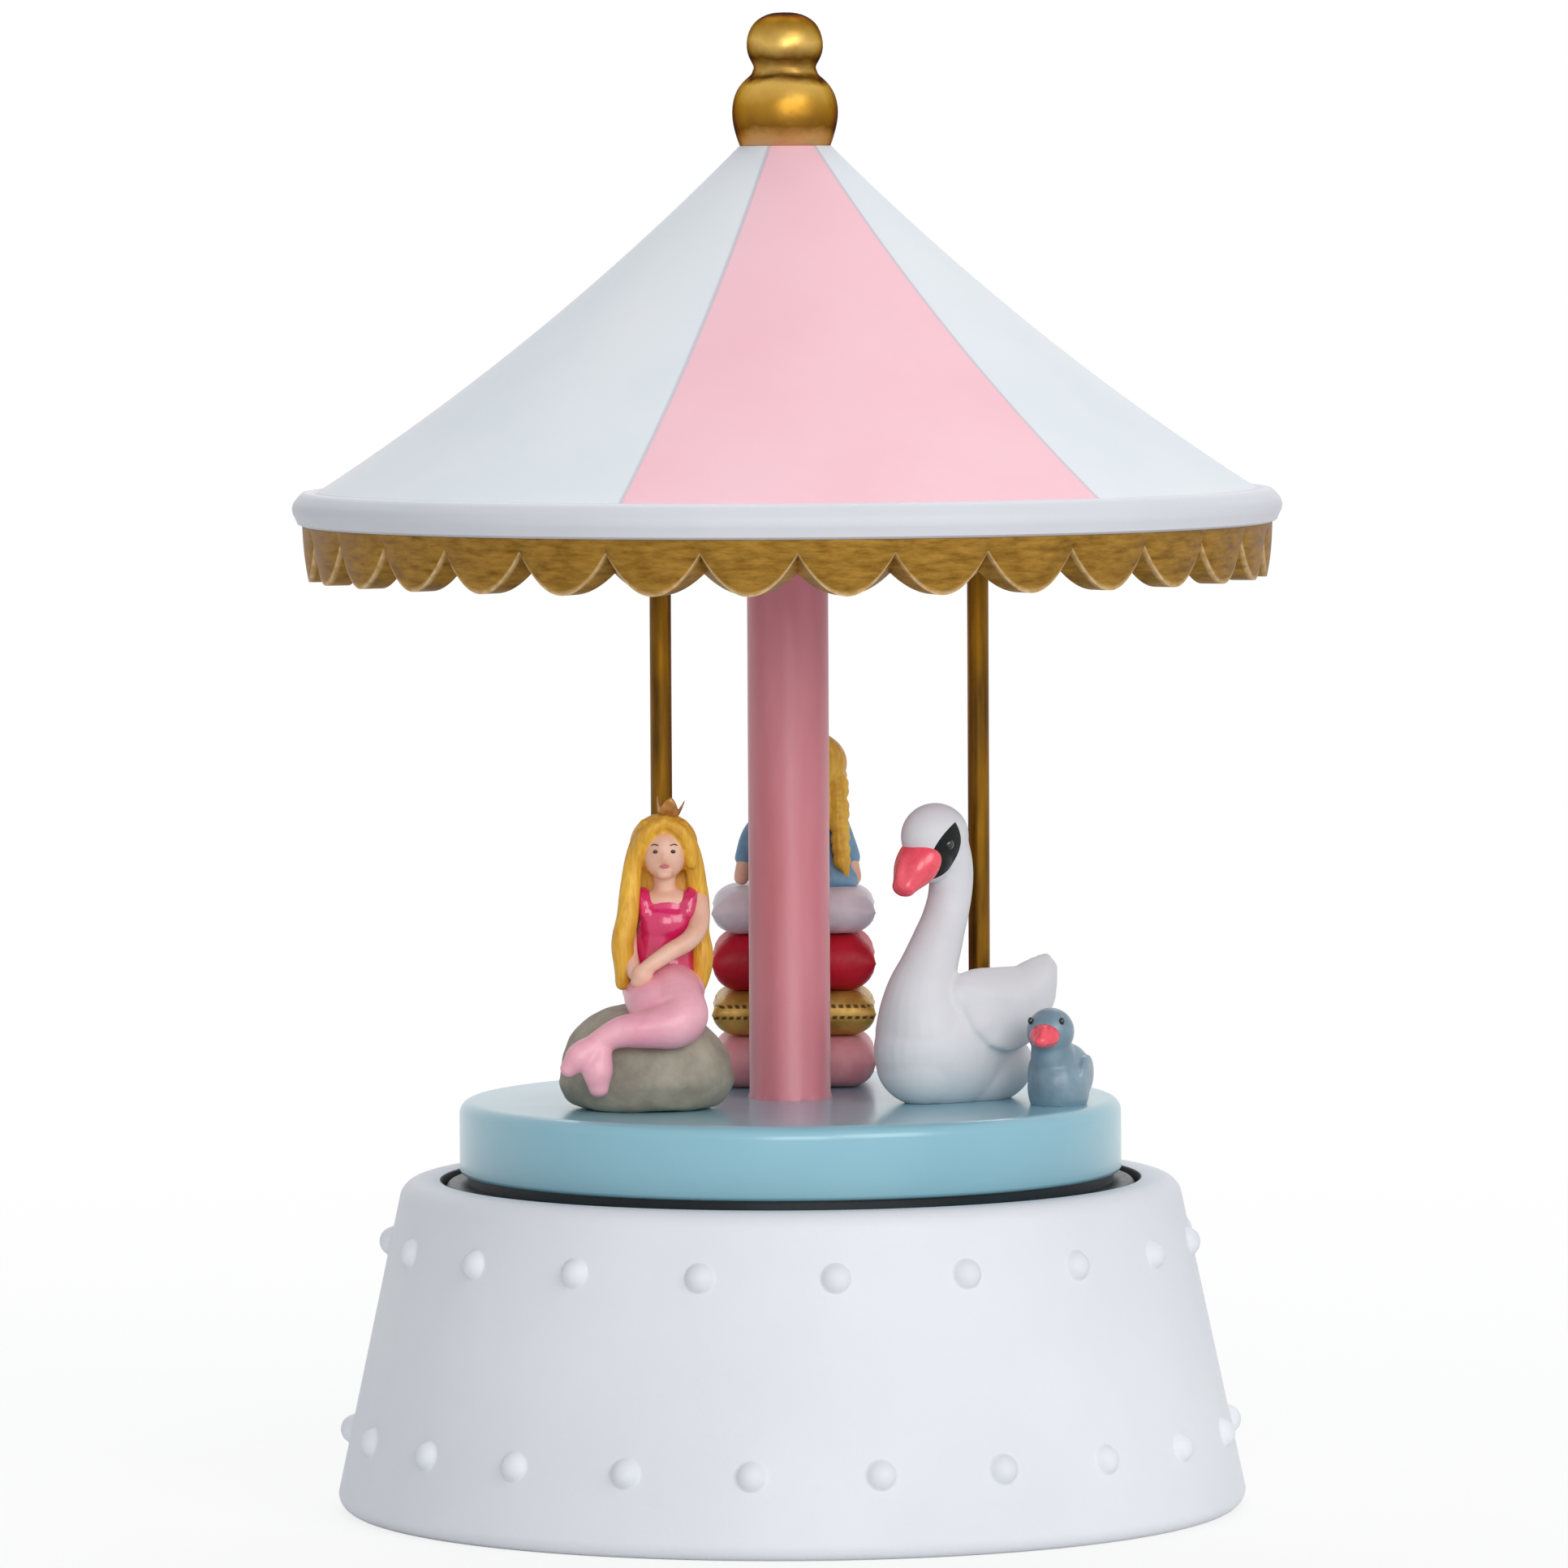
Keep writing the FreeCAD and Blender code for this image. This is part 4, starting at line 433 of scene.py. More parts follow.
def valance_paint():
    """Gold brushed over the valance's resin: streaky olive gold, paler along the lobes' lower edges."""
    material, shader = surface("brushed_gold_paint", Metallic=0.3, Specular_Tint=linear("#9A7A4A"))
    streak = spots(shader, 0.9, 5.0, (3.2, 3.2, 0.8), 0.65)
    gold = between(streak, "#714F17", "#AC8239")
    pale = between(spots(shader, 0.8, 4.0), "#BA9257", "#E0C497")
    # paler gold along the lobes' lower edges
    paleness = ranged(add(shader, "Attribute", attribute_name="pale_edge").outputs["Fac"], 0.25, 0.95)
    coloured(shader, mixed(paleness, gold, pale))
    film(shader, streak, 0.36, 0.54, 0.1)
    return material


# the finial's tones from its foot to its tip, with light and shade painted in: a painted reflection of the
# pink roof at the foot, painted shade low on each ball, in the neck and at the tip, and painted highlights
# across each ball
FINIAL_PAINTED_LIGHT_TONES = (
    (0.0, "#C4986C"), (0.07, "#B4844C"), (0.13, "#7A541C"), (0.31, "#A87C2C"), (0.46, "#D2AA58"),
    (0.52, "#6E4C18"), (0.57, "#B08A48"), (0.65, "#63420F"), (0.78, "#D0AA5C"), (0.9, "#A07A30"),
    (1.0, "#5E3E12"),
)
# how far the tones' edges wander up and down, as a share of the height
FINIAL_WANDER = 0.16


def finial_paint():
    """Polished gold with light and shade painted in: painted highlights across the balls, painted shade in
    the neck and under each ball, and a dark edge tint as a painted reflection at grazing angles.
    """
    # the dark edge tint is a painted reflection: it darkens the gold at grazing angles
    material, shader = surface("polished_gold_paint", Metallic=0.95, Specular_Tint=linear("#3C2A10"))
    low, high = box("finial")
    level = ranged(axes(place_on(shader))["Z"], low.z * MM, high.z * MM,
                   -FINIAL_WANDER / 2, 1 - FINIAL_WANDER / 2)
    mottle = spots(shader, 3.4)
    tones = [(share, linear(tone)) for share, tone in FINIAL_PAINTED_LIGHT_TONES]
    # the ramp paints highlights, shade and the roof's reflection into the gold's colour
    coloured(shader, toned(maths("MULTIPLY_ADD", mottle, FINIAL_WANDER, level), *tones))
    sheen(shader, mottle, 0.44, 0.34)
    relief(shader, spots(shader, 2.6, 2.0), 0.14)
    return material


def stone_paint():
    """Stone-coloured paint on the rock: grey-brown in darker and lighter patches, with a dry surface."""
    material, shader = surface("stone_paint", Specular_IOR_Level=0.35)
    coloured(shader, between(spots(shader, 5.0, 5.0, roughness=0.6), "#827A6C", "#AFA694"))
    film(shader, spots(shader, 0.7, 4.0), 0.5, 0.68, 0.07)
    return material


def hair_paint(name, dark, light):
    """Paint on combed hair: darker in the grooves, brighter on the strands."""
    material, shader = surface(name, Specular_IOR_Level=0.45)
    strand = spots(shader, 0.42, 2.0, (1, 1, 9), 0.55)
    both = maths("ADD", strand, spots(shader, 4.0, 2.0))
    coloured(shader, between(maths("MULTIPLY", both, 0.5), dark, light))
    film(shader, strand, 0.5, 0.36, 0.16)
    return material


# the width of a scale on the tail
TAIL_SCALE = 0.75


def tail_paint():
    """Satin pink over small moulded scales, which show as a soft pebbled shine."""
    material, shader = surface("satin_tail_paint", Coat_Weight=0.25, Coat_Roughness=0.3)
    scales = add(shader, "TexVoronoi", {"Vector": place_on(shader), "Scale": 1 / (TAIL_SCALE * MM),
                                        "Randomness": 0.5}, feature="SMOOTH_F1").outputs["Distance"]
    coloured(shader, between(spots(shader, 4.5), "#E69AAD", "#F4B4C0"))
    sheen(shader, spots(shader, 1.0), 0.38, 0.5)
    relief(shader, scales, -0.05)
    return material


# the braid's middle over the cushion's, half the distance of its two rows, and the length of a twist
BRAID_RISE, BRAID_HALF, BRAID_PITCH = 0.3, 0.7, 0.85
# a row's half-width, where it is whole and where it ends
ROW_WHOLE, ROW_END = 0.06, 0.26


def braid_paint():
    """Gold paint on the braided cushion: two sewn rows of braid, dark between their twists."""
    material, shader = surface("braided_gold_paint", Metallic=0.35)
    low, high = box("gold_cushion")
    place = axes(place_on(shader))
    middle = ((low.z + high.z) / 2 + BRAID_RISE) * MM
    away = maths("ABSOLUTE", maths("SUBTRACT", place["Z"], middle))
    near = maths("ABSOLUTE", maths("SUBTRACT", away, BRAID_HALF * MM))
    row = ranged(near, ROW_WHOLE * MM, ROW_END * MM, 1.0, 0.0)
    along = maths("ADD", place["X"], place["Y"])
    wave = maths("SINE", maths("MULTIPLY", along, 2 * math.pi / (BRAID_PITCH * MM)))
    dark = maths("MULTIPLY", row, ranged(wave, -0.6, 0.4))
    gold = between(spots(shader, 2.2, 4.0), "#AC8234", "#DDB65C")
    coloured(shader, mixed(dark, gold, linear("#624717")))
    sheen(shader, spots(shader, 0.8), 0.36, 0.5)
    relief(shader, dark, -0.18)
    return material


PAINTS = {
    # moulded black drive plate, dull with a little green
    "drive": brushed_on("moulded_dark_plastic", "#07141A", "#0E2129", 8.0, 0.42, 0.5, 0.01),
    # satin sky blue paint on the turntable: smooth enough to mirror at a low angle
    "blue": brushed_on("satin_blue_paint", "#83B7C8", "#8EBFCD", 24.0, 0.3, 9.0, 0, spread=0.02,
                       coat=(0.45, 0.16)),
    # dusty pink gloss on the pole, in long uneven strokes
    "pole": brushed_on("dusty_pink_gloss", "#CA757F", "#DA8A93", 7.0, 0.44, 2.4, 0.02, (1, 1, 4),
                       coat=(0.15, 0.25)),
    # old gold paint on the rods: brown in the strokes' hollows
    "rod": brushed_on("old_gold_paint", "#4E3307", "#885D0C", 1.4, 0.4, 0.6, 0.03, (1, 1, 8),
                      Metallic=0.85),
    # doll skin: even satin with a warm blush
    "skin": brushed_on("doll_skin_paint", "#E3AE95", "#EFC4AC", 2.6, 0.46, 0.5, 0.01,
                       Subsurface_Weight=0.06, Subsurface_Radius=(0.002, 0.001, 0.0006)),
    # wet-looking magenta lacquer on the bodice
    "magenta": brushed_on("magenta_lacquer", "#C81456", "#E0206A", 3.0, 0.2, 0.9, 0.03, coat=(0.6, 0.08)),
    # pale rose lips and dark painted eyes
    "rose": brushed_on("rose_lip_paint", "#B8606A", "#C97079", 0.6, 0.4, 0.3, 0.004),
    "eye": brushed_on("dark_eye_paint", "#2A1C18", "#3A2822", 0.6, 0.25, 0.3, 0.004),
    # beaks: coral red enamel
    "coral": brushed_on("coral_enamel", "#EC3B50", "#F85A6B", 2.2, 0.28, 0.8, 0.02, coat=(0.4, 0.15)),
    # black glossy enamel of the birds' eyes
    "black": brushed_on("black_enamel", "#060708", "#101214", 1.6, 0.16, 0.7, 0.02, coat=(0.5, 0.08)),
    # cygnet: blue-grey satin
    "grey": brushed_on("blue_grey_satin", "#607B8B", "#829BA9", 3.6, 0.36, 0.8, 0.03, coat=(0.25, 0.25)),
    # cushions: dull paint with a soft sheen, like cloth
    "cushion_pink": brushed_on("dull_pink_paint", "#E8929C", "#F6B0B6", 3.2, 0.52, 0.6, 0.04),
    "cushion_red": brushed_on("crimson_paint", "#B00C22", "#D21A34", 3.2, 0.46, 0.55, 0.05,
                              Specular_IOR_Level=0.3),
    "cushion_lilac": brushed_on("lilac_white_paint", "#DACFD9", "#ECE4E9", 3.4, 0.5, 0.7, 0.04),
    # dress: dusty blue satin
    "dress": brushed_on("dusty_blue_paint", "#5A83A6", "#7CA3BF", 3.0, 0.44, 0.7, 0.04),
    # soft worn gold of the small crown
    "crown": brushed_on("soft_gold_paint", "#96602C", "#CC9148", 0.8, 0.4, 0.4, 0.02, Metallic=0.3),
    "hair": hair_paint("golden_hair_paint", "#C98A1E", "#F6C33E"),
    "plait": hair_paint("corn_hair_paint", "#D0901F", "#F8CB4A"),
    "stone": stone_paint(),
    "tail": tail_paint(),
    "braid": braid_paint(),
}


def painted(piece, paint, slot, *nodes, body="carousel"):
    """Give the piece its paint, hide the solids that it stands for and attach it to the body that it rides
    on; the slot is not used.
    """
    piece.data.materials.clear()
    piece.data.materials.append(paint)
    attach(piece, body)
    if nodes:
        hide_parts(*nodes)


# base

BASE_TAPER, FOOT_ROUND, LIP_ROUND = 7.15, 1.9, 2.4
LIP_WIDTH, WELL_DEPTH, FLOOR_THICKNESS, FLOOR_RADIUS = 4.9, 3.6, 3.0, 41.0
SKIRT_WALL, SKIRT_EDGE, COVER_TOP, SPINDLE_HOLE = 5.75, 0.6, 10.6, 4.5
# the lip's inner edge: how far out from the well's wall, and how far under the top
LIP_EDGE = ((0.5, 0.0), (0.15, 0.15), (0.0, 0.5))
# how far the black of the well goes out past its wall and down past its floor
WELL_OVER, WELL_UNDER = 0.3, 0.1
BEAD_RADIUS, BEAD_SINK, BEAD_CUT = 1.7, 0.4, 0.75
# the rings of a bead's soft foot: how much wider and how much lower each one is
BEAD_FOOT = ((1.06, 0.15), (1.1, 0.11), (1.14, 0.06), (1.1, 0.03), (1.02, 0.3))
UPPER_BEADS = dict(count=19, height=30.5, phase=6.2)
LOWER_BEADS = dict(count=22, height=9.2, phase=-5.1)
COVER_BOSS = dict(radius=3.0, circle=39.0, angles=(75, 195, 315))


def base_paint():
    """Matte white spray paint on the cast base, dry and faintly uneven, with a black well in its top."""
    material, shader = surface("matte_white_paint", Specular_IOR_Level=0.35)
    high = box("base_shell")[1]
    place = axes(place_on(shader))
    wall, floor = high.x - BASE_TAPER - LIP_WIDTH, high.z - WELL_DEPTH
    within = maths("LESS_THAN", reach_of(place), (wall + WELL_OVER) * MM)
    above = maths("GREATER_THAN", place["Z"], (floor - WELL_UNDER) * MM)
    white = between(spots(shader, 30.0, 4.0), "#E0E3E8", "#E8EAEE")
    coloured(shader, mixed(maths("MULTIPLY", within, above), white, linear("#0C1418")))
    film(shader, spots(shader, 0.7), 0.56, 0.68, 0.02)
    return material


def bead(height, wall, lean):
    """A small dome on the wall's right side, with a soft foot of paint."""
    clear()
    bpy.ops.mesh.primitive_uv_sphere_add(segments=28, ring_count=16, radius=BEAD_RADIUS * MM)
    piece = bpy.context.object
    edit(piece)
    bpy.ops.mesh.bisect(plane_co=(0, 0, BEAD_CUT * MM), plane_no=(0, 0, 1), clear_inner=True)
    bpy.ops.mesh.select_all(action="DESELECT")
    bpy.ops.mesh.select_mode(type="EDGE")
    bpy.ops.mesh.select_non_manifold()
    for swell, drop in BEAD_FOOT:
        bpy.ops.mesh.extrude_region_move(TRANSFORM_OT_translate={"value": (0, 0, -drop * MM)})
        bpy.ops.transform.resize(value=(swell, swell, 1))
    bpy.ops.mesh.select_mode(type="VERT")
    bpy.ops.object.mode_set(mode="OBJECT")
    piece.rotation_euler = (0, math.pi / 2 - lean, 0)
    piece.location = ((wall - BEAD_SINK) * MM, 0, height * MM)
    return closed(settle(piece), 60)


def base_casting():
    high = box("base_shell")[1]
    foot, top = high.x, high.z
    shoulder, well, floor = foot - BASE_TAPER, foot - BASE_TAPER - LIP_WIDTH, top - WELL_DEPTH
    skirt = foot - SKIRT_WALL
    wall = turned("base_casting", [
        *arc((foot - FOOT_ROUND, FOOT_ROUND), FOOT_ROUND, -90, 0),
        *arc((shoulder - LIP_ROUND, top - LIP_ROUND), LIP_ROUND, 8, 90, 12),
        *[(well + out, top - drop) for out, drop in LIP_EDGE],
        (well, floor), (SPINDLE_HOLE, floor), (SPINDLE_HOLE, floor - FLOOR_THICKNESS),
        (FLOOR_RADIUS, floor - FLOOR_THICKNESS), (skirt, COVER_TOP), (skirt, SKIRT_EDGE),
        (skirt + SKIRT_EDGE, 0),
    ], 256, ring=True)
    slope = BASE_TAPER / (top - LIP_ROUND - FOOT_ROUND)
    pieces = [wall]
    for row in (UPPER_BEADS, LOWER_BEADS):
        reach = foot - (row["height"] - FOOT_ROUND) * slope
        first = bead(row["height"], reach, math.atan(slope))
        for index in range(row["count"]):
            pieces.append(copy_of(first, row["phase"] - 90 + 360 / row["count"] * index))
        bpy.data.objects.remove(first)
    for angle in COVER_BOSS["angles"]:
        boss = turned("boss", [(COVER_BOSS["radius"], COVER_TOP), (COVER_BOSS["radius"], floor - 1)], 32)
        spot = Matrix.Rotation(math.radians(angle), 3, "Z") @ Vector((COVER_BOSS["circle"], 0, 0))
        pieces.append(moved(boss, spot))
    painted(joined("base_casting", pieces), base_paint(), "base_paint", "base_shell", body="base")


# turning deck

DECK_TOP = box("turntable")[1].z
DECK_FOOT_ROUND, DECK_EDGE_ROUND = 0.5, 1.5
# the drive plate's step, and the chamfer on its edges and on the rods' ends
STEP_WIDTH, STEP_HEIGHT, CHAMFER = 2.4, 1.1, 0.3
# how far the pole goes on into the roof's boss, unseen, and the size of the waves in its glue line
POLE_HIDDEN, GLUE_HEIGHT, GLUE_SWELL = 7.8, 0.7, 0.02
# the glue line round the pole's foot: how much wider than the pole, at heights over the deck
GLUE_LINE = ((0.12, -0.2), (0.1, 0.3), (0.0, GLUE_HEIGHT))
RODS = ("mermaid_rod", "swan_rod", "cushion_rod")


def drive_disc():
    low, high = box("drive_plate")
    step_radius, step = high.x - STEP_WIDTH, high.z - STEP_HEIGHT
    disc = turned("drive_disc", [
        (high.x - CHAMFER, low.z), (high.x, low.z + CHAMFER), (high.x, step - CHAMFER),
        (high.x - CHAMFER, step), (step_radius, step), (step_radius, high.z),
    ])
    painted(disc, PAINTS["drive"], "drive_plastic", "drive_plate")


def deck():
    low, high = box("turntable")
    disc = turned("deck", [
        *arc((high.x - DECK_FOOT_ROUND, low.z + DECK_FOOT_ROUND), DECK_FOOT_ROUND, -90, 0, 4),
        *arc((high.x - DECK_EDGE_ROUND, high.z - DECK_EDGE_ROUND), DECK_EDGE_ROUND, 0, 90, 10),
        (high.x * 0.6, high.z),
    ], 256)
    painted(disc, PAINTS["blue"], "turntable_paint", "turntable")


def pole():
    high = box("center_pole")[1]
    radius = high.x
    foot = [(radius + wider, DECK_TOP + height) for wider, height in GLUE_LINE]
    post = turned("pole", foot + [(radius, high.z - POLE_HIDDEN)], 96)
    for vertex in post.data.vertices:
        # the glue line runs unevenly, in waves of two lengths
        share = max(0.0, 1 - (vertex.co.z / MM - DECK_TOP) / GLUE_HEIGHT)
        angle = math.atan2(vertex.co.y, vertex.co.x)
        swell = 1 + share * GLUE_SWELL * (math.sin(7 * angle) + 0.6 * math.sin(13 * angle + 1))
        vertex.co.x *= swell
        vertex.co.y *= swell
    painted(closed(post), PAINTS["pole"], "pole_paint", "center_pole")


def rods():
    for name in RODS:
        low, high = box(name)
        radius = (high.x - low.x) / 2
        rod = turned(name + "_paint", [
            (radius - CHAMFER, low.z), (radius, low.z + CHAMFER), (radius, (low.z + high.z) / 2),
            (radius, high.z - CHAMFER), (radius - CHAMFER, high.z),
        ], 48)
        painted(moved(rod, (*plan_middle(name), 0)), PAINTS["rod"], "gold_paint", name)


# canopy

# the panels' edges in degrees from the front, and how far past the back the last panel reaches, in panels
PANEL_EDGES, PANEL_OFFSET = (-146, -87, -20, 40, 98, 156), 0.586
RIM_HEIGHT, RIM_ROUND, RIM_WALL, RIM_ROOF = 3.9, 1.5, 5.0, 1.3
# the rim's edges under and over its round: how far in from the rim, and from its foot or its top
RIM_LOWER = ((1.2, 0.0), (0.6, 0.3))
RIM_UPPER = ((0.75, 0.5), (1.2, 0.1), (1.7, 0.02), (2.15, 0.2), (2.5, 0.35))
ROOF_TOP_RADIUS, ROOF_SAG_RADIUS, ROOF_STEPS = 5.2, 290.0, 20
# the boss for the pole inside the roof: its radius and the ends of its wall under the roof's top
BOSS_RADIUS, BOSS_FOOT, BOSS_ROOT, STUD_HOLE = 7.2, 16.9, 7.1, 1.4
# a rod's socket under the roof: its radius at heights from the rod's end
ROD_SOCKET = ((2.6, -6.0), (3.0, -5.6), (3.0, 1.0))


def sagging(start, end, radius, steps):
    """Profile points of a line that sags in an arc of the given radius between two points."""
    start, end = Vector(start), Vector(end)
    chord = end - start
    half = chord.length / 2
    across = Vector((chord.y, -chord.x)).normalized()
    centre = (start + end) / 2 + across * math.sqrt(radius ** 2 - half ** 2)
    first = start - centre
    swing = 2 * math.asin(half / radius)
    points = []
    for step in range(steps + 1):
        turn = Matrix.Rotation(-swing * step / steps, 2)
        points.append(tuple(centre + turn @ first))
    return points


def roof():
    low, high = box("canopy_roof")
    rim, bottom, inner = high.x, low.z, high.x - RIM_WALL
    outside = [(rim - inset, bottom + rise) for inset, rise in RIM_LOWER]
    outside += arc((rim - RIM_ROUND, bottom + RIM_HEIGHT / 2), RIM_ROUND, -35, 35)
    outside += [(rim - inset, bottom + RIM_HEIGHT - drop) for inset, drop in RIM_UPPER]
    cone = sagging(outside.pop(), (ROOF_TOP_RADIUS, high.z), ROOF_SAG_RADIUS, ROOF_STEPS)
    inside = [
        (STUD_HOLE, high.z), (STUD_HOLE, high.z - BOSS_FOOT), (BOSS_RADIUS, high.z - BOSS_FOOT),
        (BOSS_RADIUS, high.z - BOSS_ROOT), (inner, bottom + RIM_HEIGHT - RIM_ROOF), (inner, bottom),
    ]
    pieces = [turned("roof", outside + cone + inside, 288, ring=True)]
    for name in RODS:
        end = box(name)[1].z
        socket = turned("socket", [(radius, end + height) for radius, height in ROD_SOCKET], 40)
        pieces.append(moved(socket, (*plan_middle(name), 0)))
    painted(joined("roof", pieces), panel_paint(), "canopy_paint", "canopy_roof")


LOBES, LOBE_TURN, LOBE_STEPS = 32, 1.2, 28
LOBE_DEPTH, NOTCH_DEPTH, LOBE_SWELL = 4.7, 2.4, 0.16
# the valance's wall and taper, and the width of the paler band along the lobes' lower edges
VALANCE_WALL, VALANCE_TAPER, PALE_EDGE = 2.6, 0.6, 0.4
VALANCE_LEVELS = (1.0, 0.86, 0.68, 0.5, 0.34, 0.2, 0.1, 0.05, 0.0)


def lobe_share(angle):
    """How far across its lobe a direction is, from -1 to 1."""
    turns = (math.degrees(angle) + 90 - LOBE_TURN) * LOBES / 360
    return 2 * (turns - math.floor(turns)) - 1


def valance():
    """A band with its lower edge cut in lobes, higher outside than inside, so that the cusps are facets."""
    low, high = box("scalloped_valance")
    top, bottom, out = high.z, low.z, high.x
    foot = out - VALANCE_TAPER
    outer = [(out - VALANCE_TAPER * (1 - level), bottom + (top - bottom) * level)
             for level in VALANCE_LEVELS]
    cut = [(foot - PALE_EDGE, bottom), (foot - 2 * PALE_EDGE, bottom), (foot - VALANCE_WALL, bottom)]
    ring = turned("valance", outer + cut + [(out - VALANCE_WALL, top)], LOBES * LOBE_STEPS, ring=True)
    # how pale the gold is at each point: palest along the lobes' lower edges
    pale_edge = ring.data.attributes.new("pale_edge", "FLOAT", "POINT")
    for index, vertex in enumerate(ring.data.vertices):
        x, y, z = vertex.co / MM
        reach, level = math.hypot(x, y), (z - bottom) / (top - bottom)
        across = lobe_share(math.atan2(y, x))
        at_foot = level < 0.01
        inward = min(1, max(0, (foot - reach) / VALANCE_WALL)) if at_foot else float(reach < foot - 1)
        depth = LOBE_DEPTH + (NOTCH_DEPTH - LOBE_DEPTH) * inward
        swell = 0.0
        if inward < 0.01:
            swell = LOBE_SWELL * (1 - across ** 2) * math.sin(math.pi * level)
        edge_distance = max(level * (top - bottom), foot - reach if at_foot else 0.0)
        pale_edge.data[index].value = max(0.0, 1 - edge_distance / (2 * PALE_EDGE))
        vertex.co.x *= (reach + swell) / reach
        vertex.co.y *= (reach + swell) / reach
        vertex.co.z = (z + depth * across ** 2 * (1 - level)) * MM
    painted(closed(ring, 40), valance_paint(), "gold_paint", "scalloped_valance")


# the finial's half-width at heights under its tip: lower ball, ring, neck and upper ball
FINIAL_PROFILE = (
    (4.9, 15.8), (5.15, 15.1), (5.55, 14.0), (5.95, 12.6), (6.05, 11.3), (5.92, 10.0), (5.45, 8.7),
    (4.65, 7.7), (3.98, 7.2), (3.72, 6.9), (3.68, 6.6), (3.48, 6.3), (3.6, 5.9), (4.1, 5.1), (4.42, 4.0),
    (4.3, 2.8), (3.85, 1.6), (3.1, 0.8), (2.0, 0.2), (0.8, 0.0),
)


def finial_balls():
    top = box("finial")[1].z
    balls = turned("finial_balls", [(radius, top - drop) for radius, drop in FINIAL_PROFILE], 96)
    painted(lumpy(rounder(balls), size=4.0, depth=0.12), finial_paint(), "gold_paint", "finial")


# figures

SIDES = (-1, 1)


def dressed(pieces, at, turn, slot, node):
    """Stand a figure's (piece, name of paint) pairs on their place, and hide the solid that they stand for.
    """
    for piece, paint in pieces:
        painted(closed(moved(piece, at, turn), 60), PAINTS[paint], slot)
    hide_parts(node)


# the rock's reach to the left, to the right and to front and back, at heights over the deck
ROCK_SECTIONS = (
    (0.0, 9.3, 10.1, 8.3), (3.0, 9.9, 10.5, 8.7), (6.2, 9.1, 9.7, 8.2), (8.3, 8.3, 8.4, 7.5),
    (11.6, 6.8, 5.4, 6.4),
)
# the powers that make its lower and its upper half steep
ROCK_STEEP = (-0.84, -0.55)


def rock():
    stone = rounder(named(ball((0, 0, 0), (1, 1, 1)), "rock"))
    for vertex in stone.data.vertices:
        unit = vertex.co.normalized()
        height = ROCK_SECTIONS[-1][0] * (unit.z + 1) / 2
        for lower, upper in zip(ROCK_SECTIONS, ROCK_SECTIONS[1:]):
            if lower[0] <= height <= upper[0]:
                share = (height - lower[0]) / (upper[0] - lower[0])
                left, right, deep = [a + (b - a) * share for a, b in zip(lower[1:], upper[1:])]
        # steep sides and flat ends, as in a block with rounded edges, fuller towards its foot
        steep = ROCK_STEEP[unit.z > 0]
        spread = math.hypot(unit.x, unit.y) ** steep if abs(unit.z) < 0.999 else 1.0
        wide = right if unit.x > 0 else left
        vertex.co = Vector((unit.x * spread * wide, unit.y * spread * deep, height)) * MM
    lumpy(closed(stone, 180), size=6.0, depth=0.9)
    place = (*plan_middle("mermaid_rock"), box("mermaid_rock")[0].z)
    painted(moved(stone, place), PAINTS["stone"], "rock_paint", "mermaid_rock")


CROWN_POINTS, CROWN_BAND, CROWN_FLARE = 4, 1.0, 0.1
# a point's height over the band's edge, the dip beside it and the power that blunts its tip
POINT_HEIGHT, POINT_DIP, POINT_POWER = 1.5, 0.3, 0.7


def crown(at, radius, lean):
    """A small plain circlet with points."""
    section = [(0.8, 0), (1.0, 0.05), (1.3, CROWN_BAND), (1.1, CROWN_BAND)]
    band = turned("crown", [(radius * share, height) for share, height in section], 60, ring=True)
    for vertex in band.data.vertices:
        if vertex.co.z > CROWN_BAND / 2 * MM:
            angle = math.atan2(vertex.co.y, vertex.co.x) + math.pi / 2
            point = abs((angle * CROWN_POINTS / (2 * math.pi)) % 1 - 0.5) * 2
            vertex.co.z += (POINT_HEIGHT * point ** POINT_POWER - POINT_DIP) * MM
            vertex.co.x *= 1 + CROWN_FLARE * point
            vertex.co.y *= 1 + CROWN_FLARE * point
    rounder(band)
    band.rotation_euler = (0, math.radians(lean), 0)
    return moved(settle(band), at)


MERMAID_SEAT = (-14.2, -13.2)


